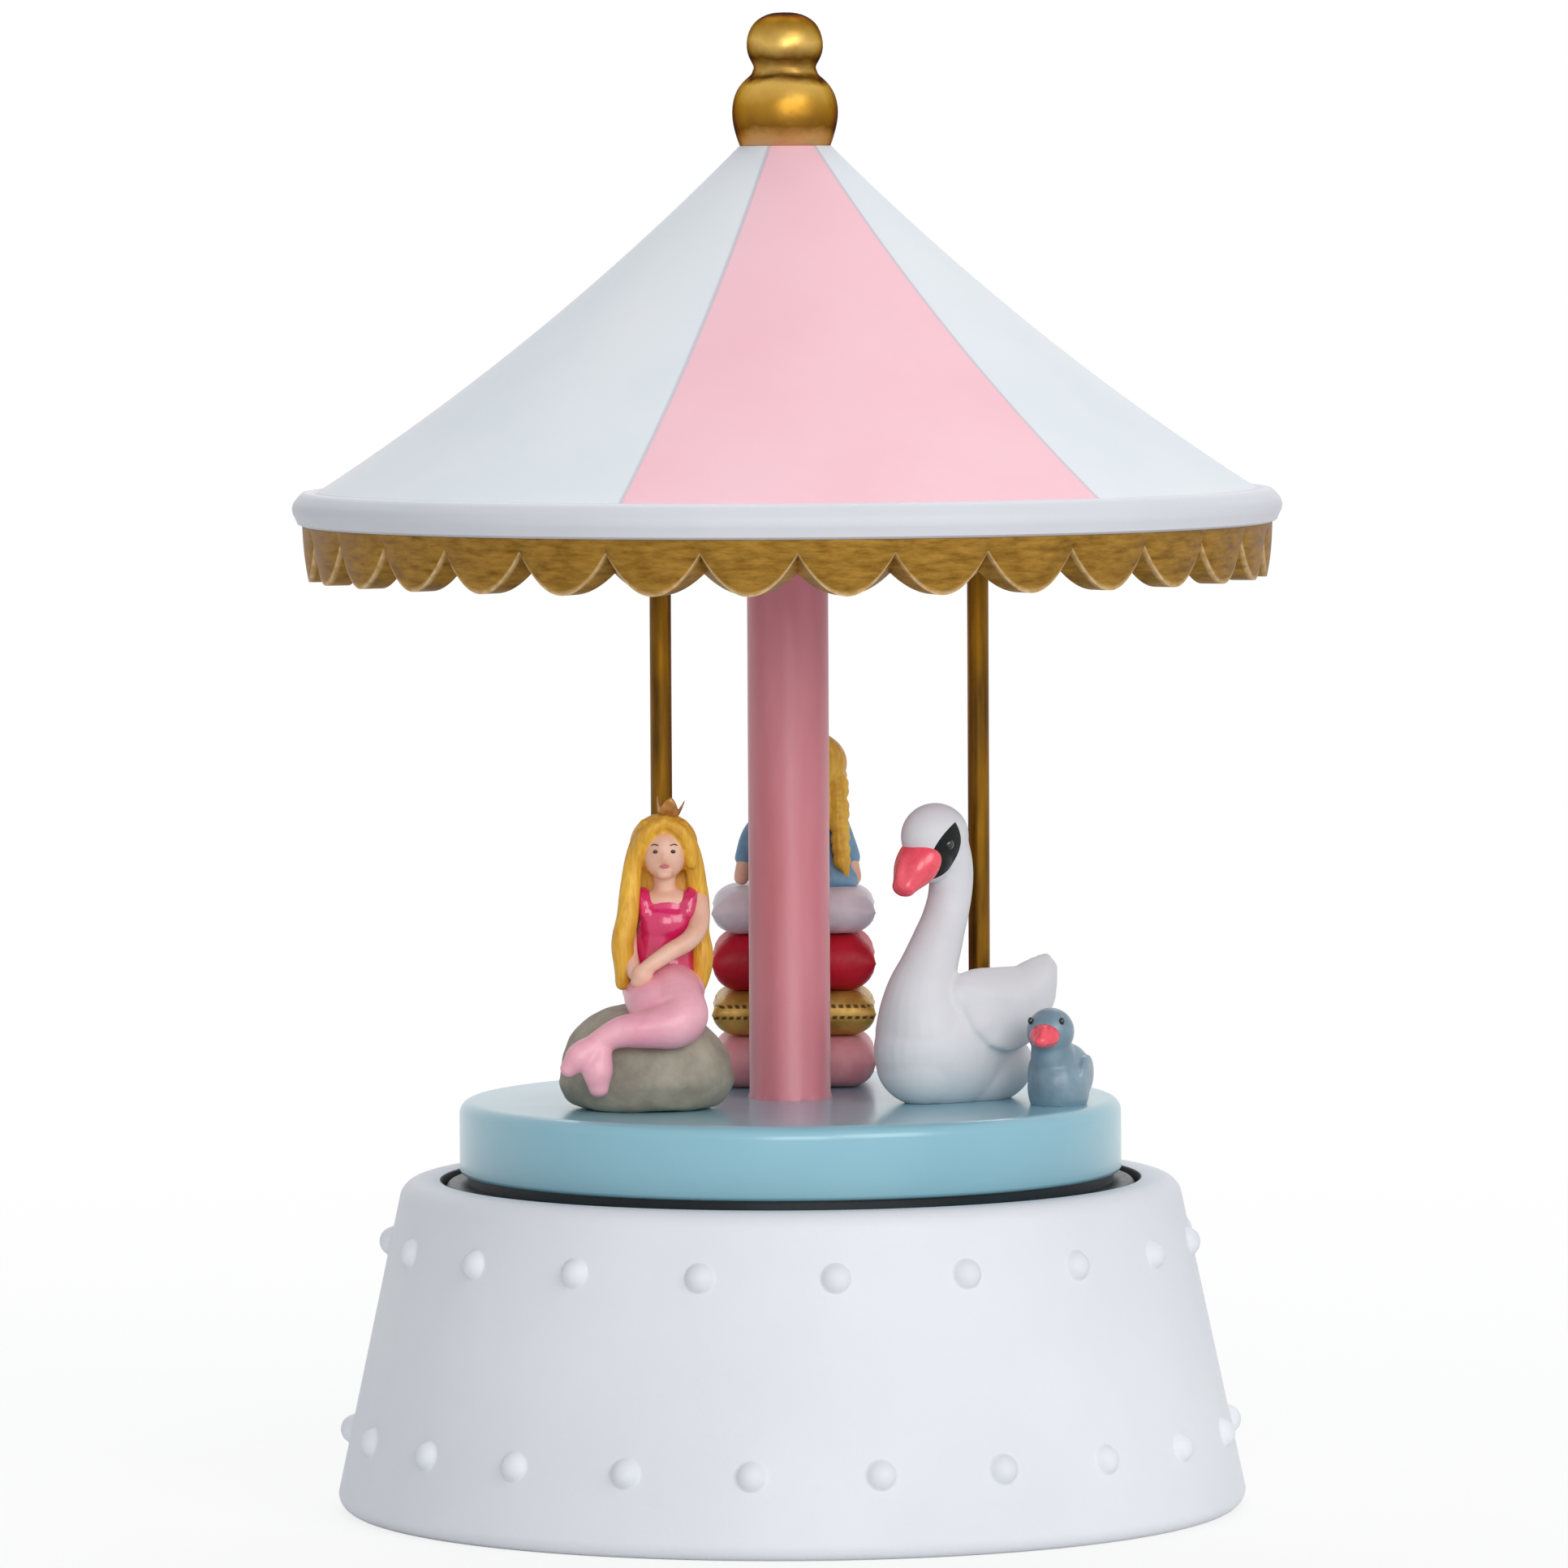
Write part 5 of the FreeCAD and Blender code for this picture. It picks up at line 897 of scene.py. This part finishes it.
def mermaid():
    skin = [
        # face, nose, chin, neck and chest
        ball((0.2, -0.9, 17.3), (2.5, 2.45, 2.95)),
        ball((0.2, -3.3, 16.9), (0.34, 0.36, 0.5)),
        ball((0.2, -2.6, 15.0), (0.9, 0.7, 0.6)),
        limb((0.2, 0.2, 11.5, 1.4), (0.2, 0, 13.4, 1.25), (0.2, -0.2, 16.0, 1.3)),
        ball((0.4, 0.1, 11.7), (3.2, 2.1, 1.7)),
        # right arm across to the lap, left arm under the hair to the same place
        limb((3.9, 0.2, 12.0, 1.15), (4.1, -1.2, 9.9, 1.15), (3.2, -3.2, 7.9, 1.1), (0.6, -4.6, 6.3, 1.0),
             (-1.8, -5.2, 4.7, 0.85)),
        ball((-2.3, -5.2, 3.9), (1.2, 0.85, 1.25), (0, 35, 0)),
        limb((-3.2, 0.3, 12.0, 1.0), (-3.7, 0.2, 9.4, 0.95), (-3.8, -1.6, 6.6, 0.9),
             (-3.2, -4.0, 4.0, 0.85)),
        ball((-2.6, -4.9, 3.1), (1.1, 0.9, 0.8)),
    ]
    bodice = [
        limb((-0.2, 0.2, 3.0, 3.9), (-0.1, 0.2, 5.8, 3.5), (0.2, 0, 8.0, 3.3), (0.4, 0.2, 10.2, 3.2),
             stretch=(1, 0.78, 1)),
        ball((0.3, -0.9, 9.2), (3.1, 1.9, 2.6)),
        limb((-1.9, -1.5, 10.6, 0.9), (-2.3, -0.6, 12.5, 0.85), (-2.2, 0.8, 12.4, 0.8),
             (-1.9, 1.6, 11.0, 0.7)),
        limb((2.7, -1.5, 10.6, 0.9), (3.1, -0.6, 12.5, 0.85), (3.0, 0.8, 12.4, 0.8), (2.7, 1.6, 11.0, 0.7)),
    ]
    tail = [
        # hips, lap, bent knee, lower tail and two fins
        ball((0, -0.4, 1.9), (4.7, 3.8, 3.1)),
        limb((-1.4, -0.8, 1.5, 3.1), (-1.2, -4.4, 0.5, 2.9), (-0.6, -6.8, -1.2, 2.5)),
        limb((0.6, -1.0, 1.8, 3.5), (1.5, -4.6, 0.5, 3.25), (1.8, -7.0, -1.1, 2.95),
             (-1.4, -8.5, -1.9, 2.25), (-4.9, -8.9, -2.3, 1.75), (-7.4, -9.1, -3.5, 1.35)),
        limb((-7.2, -9.2, -3.5, 1.3), (-9.3, -9.6, -5.0, 1.65), (-10.5, -9.7, -6.2, 1.05)),
        limb((-7.0, -9.2, -3.8, 1.3), (-7.3, -9.7, -6.6, 1.7), (-7.2, -9.8, -8.3, 1.2)),
    ]
    hair = [
        # cap, hair down the back, lock over the left arm and lock behind the right one
        ball((0.1, 0.5, 18.2), (3.85, 3.2, 3.55)),
        ball((0, 2.3, 10.4), (4.6, 1.7, 9.0)),
        limb((-1.9, -0.5, 20.3, 0.9), (-2.95, -1.1, 17.8, 1.0), (-3.65, -1.5, 13.8, 1.15),
             (-4.0, -2.2, 10.2, 1.25), (-4.55, -2.6, 7.2, 1.3), (-4.4, -2.6, 4.8, 1.2),
             (-4.6, -2.5, 2.8, 0.85)),
        limb((2.1, -0.4, 20.3, 0.9), (3.2, -0.6, 17.6, 1.0), (3.85, 0.4, 13.4, 1.15), (4.0, 0.8, 10.6, 1.3),
             (4.0, 0.6, 8.4, 1.2), (4.4, 0.1, 5.4, 1.25), (4.1, -0.1, 3.0, 1.05), (3.8, -0.2, 1.4, 0.7)),
        # parting over the brow
        limb((0.4, -2.0, 20.9, 0.75), (-1.4, -2.3, 20.0, 0.75), (-2.5, -2.0, 18.4, 0.75),
             (-2.95, -1.5, 16.2, 0.7)),
        limb((0.4, -2.0, 20.9, 0.75), (1.9, -2.3, 20.0, 0.75), (2.9, -2.0, 18.4, 0.75),
             (3.3, -1.4, 16.2, 0.7)),
    ]
    eyes = [ball((0.2 + side * 1.0, -3.2, 17.6), (0.28, 0.14, 0.2)) for side in SIDES]
    eyes += [limb((0.2 + side * 0.7, -3.12, 18.3, 0.06), (0.2 + side * 1.1, -3.0, 18.42, 0.06),
                  (0.2 + side * 1.45, -2.8, 18.3, 0.05)) for side in SIDES]
    lips = [ball((0.2, -3.3, 15.95), (0.55, 0.2, 0.18))]
    dressed([
        (fused("mermaid_skin", skin, 0.2), "skin"),
        (fused("mermaid_bodice", bodice, 0.2, 6), "magenta"),
        (fused("mermaid_tail", tail, 0.22), "tail"),
        (fused("mermaid_hair", hair, 0.2, 7), "hair"),
        (joined("mermaid_eyes", eyes), "eye"),
        (joined("mermaid_lips", lips), "rose"),
        (crown((0.6, 0.3, 21.4), 1.2, 10), "crown"),
    ], (*MERMAID_SEAT, box("mermaid_rock")[1].z), 0, "mermaid_paint", "mermaid_figure")


# where a pillow's flat middle ends, as a share of its half-width, and how far its sides draw in
PILLOW_FLAT, PILLOW_PULL, PILLOW_STEPS = 0.66, 0.02, 48
# each cushion's colour, paint and slot, the number of folds round its edge and their depth
CUSHIONS = (
    ("pink", "cushion_pink", "pink_paint", 6, 0.25),
    ("gold", "braid", "gold_cushion_paint", 6, 0.15),
    ("crimson", "cushion_red", "crimson_paint", 8, 0.3),
    ("lilac", "cushion_lilac", "lilac_paint", 14, 0.7),
)


def pillow(colour, folds, fold_depth):
    """A pillow with drawn-in sides and pointed corners, flat where it meets its neighbours."""
    low, high = box(colour + "_cushion")
    middle, half = (low + high) / 2, (high - low) / 2
    clear()
    bpy.ops.mesh.primitive_grid_add(x_subdivisions=PILLOW_STEPS, y_subdivisions=PILLOW_STEPS, size=2)
    piece = named(bpy.context.object, colour + "_pillow")
    for vertex in piece.data.vertices:
        x, y = vertex.co.x, vertex.co.y
        fall = [max(0.0, (abs(value) - PILLOW_FLAT) / (1 - PILLOW_FLAT)) ** 2 for value in (x, y)]
        rise = max(0.0, (1 - fall[0]) * (1 - fall[1])) ** 0.5
        edge = max(abs(x), abs(y))
        fold = fold_depth * math.sin(folds * math.atan2(y, x) + 0.7) * rise * edge ** 6
        vertex.co = (x * half.x * (1 - PILLOW_PULL * (1 - y * y)),
                     y * half.y * (1 - PILLOW_PULL * (1 - x * x)), half.z * rise - abs(fold))
        vertex.co *= MM
    modify(piece, "MIRROR", use_axis=(False, False, True), merge_threshold=0.02 * MM)
    modify(piece, "SMOOTH", factor=0.5, iterations=3)
    return closed(moved(piece, middle), 180)


def cushions():
    for colour, paint, slot, folds, fold_depth in CUSHIONS:
        painted(pillow(colour, folds, fold_depth), PAINTS[paint], slot, colour + "_cushion")


GIRL_FOLDS, PLAIT_KNOTS, PLAIT_LEAN = 9, 8, 22


def girl():
    head = 14.0
    dress = [
        ball((0, 0, 0.6), (6.4, 5.6, 2.1)),
        limb((0, 0, 1.6, 4.6), (0, 0, 4.2, 3.7), (0, 0, 7.0, 3.1), (0, 0, 9.4, 2.5)),
    ]
    for index in range(GIRL_FOLDS):
        angle = 2 * math.pi * index / GIRL_FOLDS
        x, y = math.cos(angle), math.sin(angle)
        dress.append(limb((2.2 * x, 1.9 * y, 4.0, 0.8), (4.6 * x, 4.0 * y, 1.8, 1.0),
                          (5.6 * x, 4.9 * y, 0.9, 0.8)))
    skin = [
        ball((0, -0.8, head - 0.2), (2.7, 2.6, 3.0)),
        limb((0, 0, 8.8, 1.2), (0, -0.1, 11.6, 1.05)),
        ball((0, -3.3, head - 0.4), (0.3, 0.35, 0.45)),
    ]
    hair = [ball((0, 0.5, head + 0.1), (4.9, 3.5, 3.9)), ball((0, 1.6, 9.5), (3.8, 1.5, 4.5))]
    for side in SIDES:
        reach = 6.1 + 0.9 * side
        dress.append(limb((side * 3.0, 0, 8.6, 1.4), (side * (reach - 1.1), 0.2, 6.0, 1.35),
                          (side * reach, 0.4, 3.2, 1.2)))
        skin.append(limb((side * (reach + 0.1), 0.6, 2.8, 0.85), (side * (reach + 0.4), 1.0, 0.9, 0.9)))
        hair.append(limb((side * 0.6, -2.4, head + 2.6, 0.8), (side * 2.8, -1.8, head + 1.2, 0.9),
                         (side * 3.8, -0.2, head - 1.4, 1.1)))
        for knot in range(PLAIT_KNOTS):
            # the plait's strands cross over from knot to knot
            lean = PLAIT_LEAN if knot % 2 else -PLAIT_LEAN
            hair.append(ball((side * (3.7 + 0.07 * knot), 1.5 + 0.16 * knot, head - 2.0 - 1.3 * knot),
                             (1.45 - 0.05 * knot, 1.2 - 0.04 * knot, 1.05), (0, lean, 0)))
        hair.append(limb((side * 4.5, 2.9, head - 11.8, 0.6), (side * 4.7, 3.0, head - 12.8, 0.4)))
    eyes = [ball((side * 1.0, -3.2, head + 0.1), (0.3, 0.15, 0.24)) for side in SIDES]
    lips = [ball((0, -3.3, head - 1.4), (0.48, 0.18, 0.16))]
    dressed([
        (flattened(fused("girl_dress", dress, 0.24, 4)), "dress"),
        (fused("girl_skin", skin, 0.2), "skin"),
        (fused("girl_hair", hair, 0.2, 2), "plait"),
        (joined("girl_eyes", eyes), "eye"),
        (joined("girl_lips", lips), "rose"),
    ], (*plan_middle("seated_girl"), box("seated_girl")[0].z), 180, "girl_paint", "seated_girl")


SWAN_PLACE, SWAN_TURN, FAR_WING_HEIGHT = (19.2, -4.0), -48, 0.86
# the near wing's outline, from the shoulder over the back and the tip to the lower edge
WING = (
    (4.6, -4.0, 11.3), (4.2, -4.05, 13.5), (3.5, -3.1, 14.8), (3.7, -0.6, 15.3), (3.9, 2.4, 15.2),
    (4.0, 5.2, 15.2), (3.7, 7.6, 15.9), (3.4, 9.7, 16.7), (3.1, 11.6, 16.1), (3.0, 12.4, 14.6),
    (3.5, 11.4, 11.0), (4.8, 8.4, 8.0), (6.2, 5.0, 6.5), (6.8, 1.8, 5.7), (7.0, -1.6, 6.4),
    (6.1, -3.8, 8.7),
)
WING_MIDDLE, WING_THICKNESS = (6.6, 2.4, 11.0), 2.4
# the mask on each side of the face: its middle, its half-width and half-length, its lean and its inner end
MASK_MIDDLE, MASK_HALF, MASK_LEAN, MASK_INNER = (0, 4.3, 28.6), (1.75, 3.5), 20, 1.5


def swan_paint():
    """Cool white satin with a soft grey cast, and a black enamel mask painted on each side of the face."""
    material, shader = surface("cool_white_satin", Specular_IOR_Level=0.25)
    own = add(shader, "Mapping", {
        "Vector": place_on(shader), "Location": Vector((*SWAN_PLACE, DECK_TOP)) * MM,
        "Rotation": (0, 0, math.radians(SWAN_TURN))}, vector_type="TEXTURE").outputs[0]
    both = add(shader, "VectorMath", {0: own}, operation="ABSOLUTE").outputs[0]
    face = add(shader, "Mapping", {
        "Vector": both, "Location": Vector(MASK_MIDDLE) * MM, "Rotation": (math.radians(MASK_LEAN), 0, 0),
        "Scale": (MM, MASK_HALF[0] * MM, MASK_HALF[1] * MM)}, vector_type="TEXTURE").outputs[0]
    share = axes(face)
    width = maths("ABSOLUTE", share["Y"])
    inside = maths("LESS_THAN", maths("MULTIPLY_ADD", share["Z"], share["Z"], width), 1.0)
    aside = maths("GREATER_THAN", share["X"], MASK_INNER)
    mask = maths("MULTIPLY", inside, aside)
    white = between(spots(shader, 9.0, 4.0), "#D6D5D9", "#E0DFE2")
    coloured(shader, mixed(mask, white, linear("#0A0B0D")))
    link(ranged(mask, 0.0, 1.0, 0.5, 0.18), shader.inputs["Roughness"])
    relief(shader, spots(shader, 1.6), 0.02)
    return material


def swan():
    body = [
        # trunk, breast, haunches, neck, head, cheeks and tail
        ball((0, -2.0, 6.0), (6.6, 9.4, 6.8)),
        ball((0, -5.4, 4.6), (5.4, 5.6, 5.0)),
        ball((0, 2.4, 3.8), (5.9, 7.4, 4.8)),
        limb((0, -5.6, 8.4, 5.4), (0, -5.9, 11.6, 4.35), (0, -4.7, 15.1, 3.4), (0, -2.9, 19.0, 2.8),
             (0, -1.8, 21.6, 2.55), (0, -1.2, 24.0, 2.5), (0, -1.2, 26.4, 2.6), (0, -2.0, 28.8, 2.75)),
        ball((0, -3.6, 30.2), (3.3, 4.3, 3.75)),
        ball((0, -4.6, 27.8), (2.9, 2.9, 2.9)),
        limb((0, 4.5, 7.0, 3.4), (0, 9.5, 10.5, 1.6)),
    ]
    for side in SIDES:
        wing = plate(WING, WING_MIDDLE, WING_THICKNESS)
        # the far wing is folded a little lower
        wing.scale = (side, 1, 1 if side > 0 else FAR_WING_HEIGHT)
        body.append(closed(settle(wing), 180))
        # the wing's root runs into the shoulder
        body.append(ball((side * 3.5, -3.2, 11.6), (1.7, 1.9, 2.6)))
    beak = [
        limb((0, -5.8, 27.7, 2.35), (0, -7.2, 26.0, 2.0), (0, -8.2, 24.8, 1.35), stretch=(1.25, 1, 1)),
        limb((0, -7.2, 28.5, 0.7), (0, -8.4, 27.0, 0.7), (0, -9.0, 25.2, 0.6)),
    ]
    eyes = [ball((side * 3.0, -4.1, 29.4), (0.4, 0.6, 0.6)) for side in SIDES]
    PAINTS["swan"] = swan_paint()
    dressed([
        (flattened(fused("swan_body", body, 0.26, 8)), "swan"),
        (fused("swan_beak", beak, 0.2, 9), "coral"),
        (joined("swan_eyes", eyes), "black"),
    ], (*SWAN_PLACE, DECK_TOP), SWAN_TURN, "swan_paint", "swan")


CYGNET_PLACE, CYGNET_TURN = (30.0, -10.6), -15


def cygnet():
    body = [
        ball((0.3, 0.2, 2.0), (3.5, 4.1, 4.6)),
        ball((0.4, 1.2, 4.2), (3.2, 3.4, 2.8)),
        ball((-0.1, -1.9, 8.4), (2.7, 2.7, 2.7)),
        limb((0, -0.8, 4.8, 2.6), (-0.2, -1.6, 7.4, 2.2)),
    ]
    for side in SIDES:
        body.append(ball((0.4 + side * 3.0, 0.8, 3.4), (0.6, 2.6, 2.2), (16, 0, 0)))
    beak = [
        limb((-0.2, -3.9, 8.1, 1.4), (-0.2, -5.0, 7.9, 1.2), (-0.2, -6.0, 7.6, 0.7), stretch=(1.25, 1, 1)),
        limb((-0.2, -4.4, 9.1, 0.4), (-0.2, -5.5, 8.7, 0.4), (-0.2, -6.3, 8.0, 0.3)),
    ]
    eyes = [ball((-0.2 + side * 1.8, -3.55, 9.7), (0.34, 0.32, 0.42)) for side in SIDES]
    dressed([
        (flattened(fused("cygnet_body", body, 0.2, 5)), "grey"),
        (fused("cygnet_beak", beak, 0.16, 7), "coral"),
        (joined("cygnet_eyes", eyes), "black"),
    ], (*CYGNET_PLACE, DECK_TOP), CYGNET_TURN, "cygnet_paint", "cygnet")


# movement and underside: the solids are kept, with their own finishes

def movement_finishes():
    """Bare metal, nylon and fibre board on the solids that are kept."""
    finishes = {
        "steel": brushed_on("bright_steel", "#8D9196", "#B4B8BC", 3.0, 0.28, 0.3, 0.004, Metallic=1.0),
        "zinc": brushed_on("cast_zinc", "#83878B", "#9EA2A6", 4.0, 0.45, 0.4, 0.012, Metallic=0.9),
        "brass": brushed_on("turned_brass", "#A8842F", "#D0AC55", 2.0, 0.26, 0.3, 0.004, Metallic=1.0),
        "nylon": brushed_on("white_nylon", "#D9DAD6", "#E8E8E3", 3.0, 0.45, 0.5, 0.004),
        "cover_board": brushed_on("dark_fibre_board", "#2B2A2C", "#3A393B", 1.5, 0.72, 0.4, 0.02),
    }
    for part in frame["record"]["subparts"]:
        if part["material_slot"] in finishes:
            mesh = frame["nodes"][part["node"]].data
            mesh.materials.clear()
            mesh.materials.append(finishes[part["material_slot"]])


# stage

CAMERA_DISTANCE, CAMERA_HEIGHT = 1210.75, 152.63
AIM, LENS, LEAN = (-0.518, 0, 82.398), 244.65, 0.304
FLOOR_REACH, FADE_START, FADE_END, FLOOR_WASH = 900, 80, 420, 0.8
SOFT_LIGHT, LAMP_AIM = 0.52, (0, 0, 85)
# each lamp's place, the side of its square and its power in watts
LAMPS = {
    "front_right": ((600, -900, 540), 600, 4.2),
    "front": ((60, -1280, 420), 500, 3.7),
    "above_back": ((0, 500, 800), 600, 3.2),
}


def white_floor():
    """A pale floor that keeps the object's shadow and fades out into the white background."""
    clear()
    bpy.ops.mesh.primitive_circle_add(vertices=96, radius=FLOOR_REACH * MM, fill_type="NGON")
    floor = named(bpy.context.object, "floor")
    material, shader = surface("pale_floor", Roughness=0.9, Specular_IOR_Level=0.1)
    shader.inputs["Base Color"].default_value = linear("#F4F4F4")
    fade = ranged(length_of(place_on(shader)), FADE_START * MM, FADE_END * MM)
    white = add(shader, "Emission", {"Color": (1, 1, 1, 1), "Strength": 1.0}).outputs[0]
    wash = maths("MULTIPLY", add(shader, "LightPath").outputs["Is Camera Ray"], FLOOR_WASH)
    lit = add(shader, "MixShader", {0: wash, 1: shader.outputs[0], 2: white}).outputs[0]
    clear_view = add(shader, "BsdfTransparent").outputs[0]
    whole = add(shader, "MixShader", {0: fade, 1: lit, 2: clear_view}).outputs[0]
    link(whole, material.node_tree.nodes["Material Output"].inputs["Surface"])
    floor.data.materials.append(material)


def white_background():
    """White to the camera and in reflections, and an even soft light on the object."""
    world = bpy.data.worlds.new("studio")
    bpy.context.scene.world = world
    world.use_nodes = True
    soft = world.node_tree.nodes["Background"]
    soft.inputs["Color"].default_value = linear("#F3F6FA")
    soft.inputs["Strength"].default_value = SOFT_LIGHT
    path = add(soft, "LightPath").outputs
    either = maths("MAXIMUM", path["Is Camera Ray"], path["Is Transmission Ray"])
    seen = maths("MAXIMUM", either, path["Is Glossy Ray"])
    white = add(soft, "Background", {"Color": (1, 1, 1, 1), "Strength": 1.0}).outputs[0]
    whole = add(soft, "MixShader", {0: seen, 1: soft.outputs[0], 2: white}).outputs[0]
    link(whole, world.node_tree.nodes["World Output"].inputs["Surface"])


def lamp(name, place, size, power):
    """A soft square light that faces the middle of the object."""
    light = bpy.data.lights.new(name, "AREA")
    light.size = size * MM
    light.energy = power
    holder = bpy.data.objects.new(name, light)
    holder.location = Vector(place) * MM
    holder.rotation_euler = (Vector(LAMP_AIM) - Vector(place)).to_track_quat("-Z", "Y").to_euler()
    bpy.context.scene.collection.objects.link(holder)


def camera():
    """The photo's view, from the front and a little above."""
    view = bpy.data.cameras.new("camera")
    view.lens = LENS
    view.sensor_width = 36
    view.clip_end = 20
    holder = bpy.data.objects.new("camera", view)
    place = Vector((0, -CAMERA_DISTANCE, CAMERA_HEIGHT))
    turn = (Vector(AIM) - place).to_track_quat("-Z", "Y").to_matrix().to_4x4()
    roll = Matrix.Rotation(math.radians(-LEAN), 4, "Z")
    holder.matrix_world = Matrix.Translation(place * MM) @ turn @ roll
    bpy.context.scene.collection.objects.link(holder)
    bpy.context.scene.camera = holder


base_casting()
drive_disc()
deck()
pole()
rods()
roof()
valance()
finial_balls()
rock()
mermaid()
cushions()
girl()
swan()
cygnet()
movement_finishes()
white_floor()
white_background()
for lamp_name, setting in LAMPS.items():
    lamp(lamp_name, *setting)
camera()
bpy.context.scene.view_settings.view_transform = "Standard"
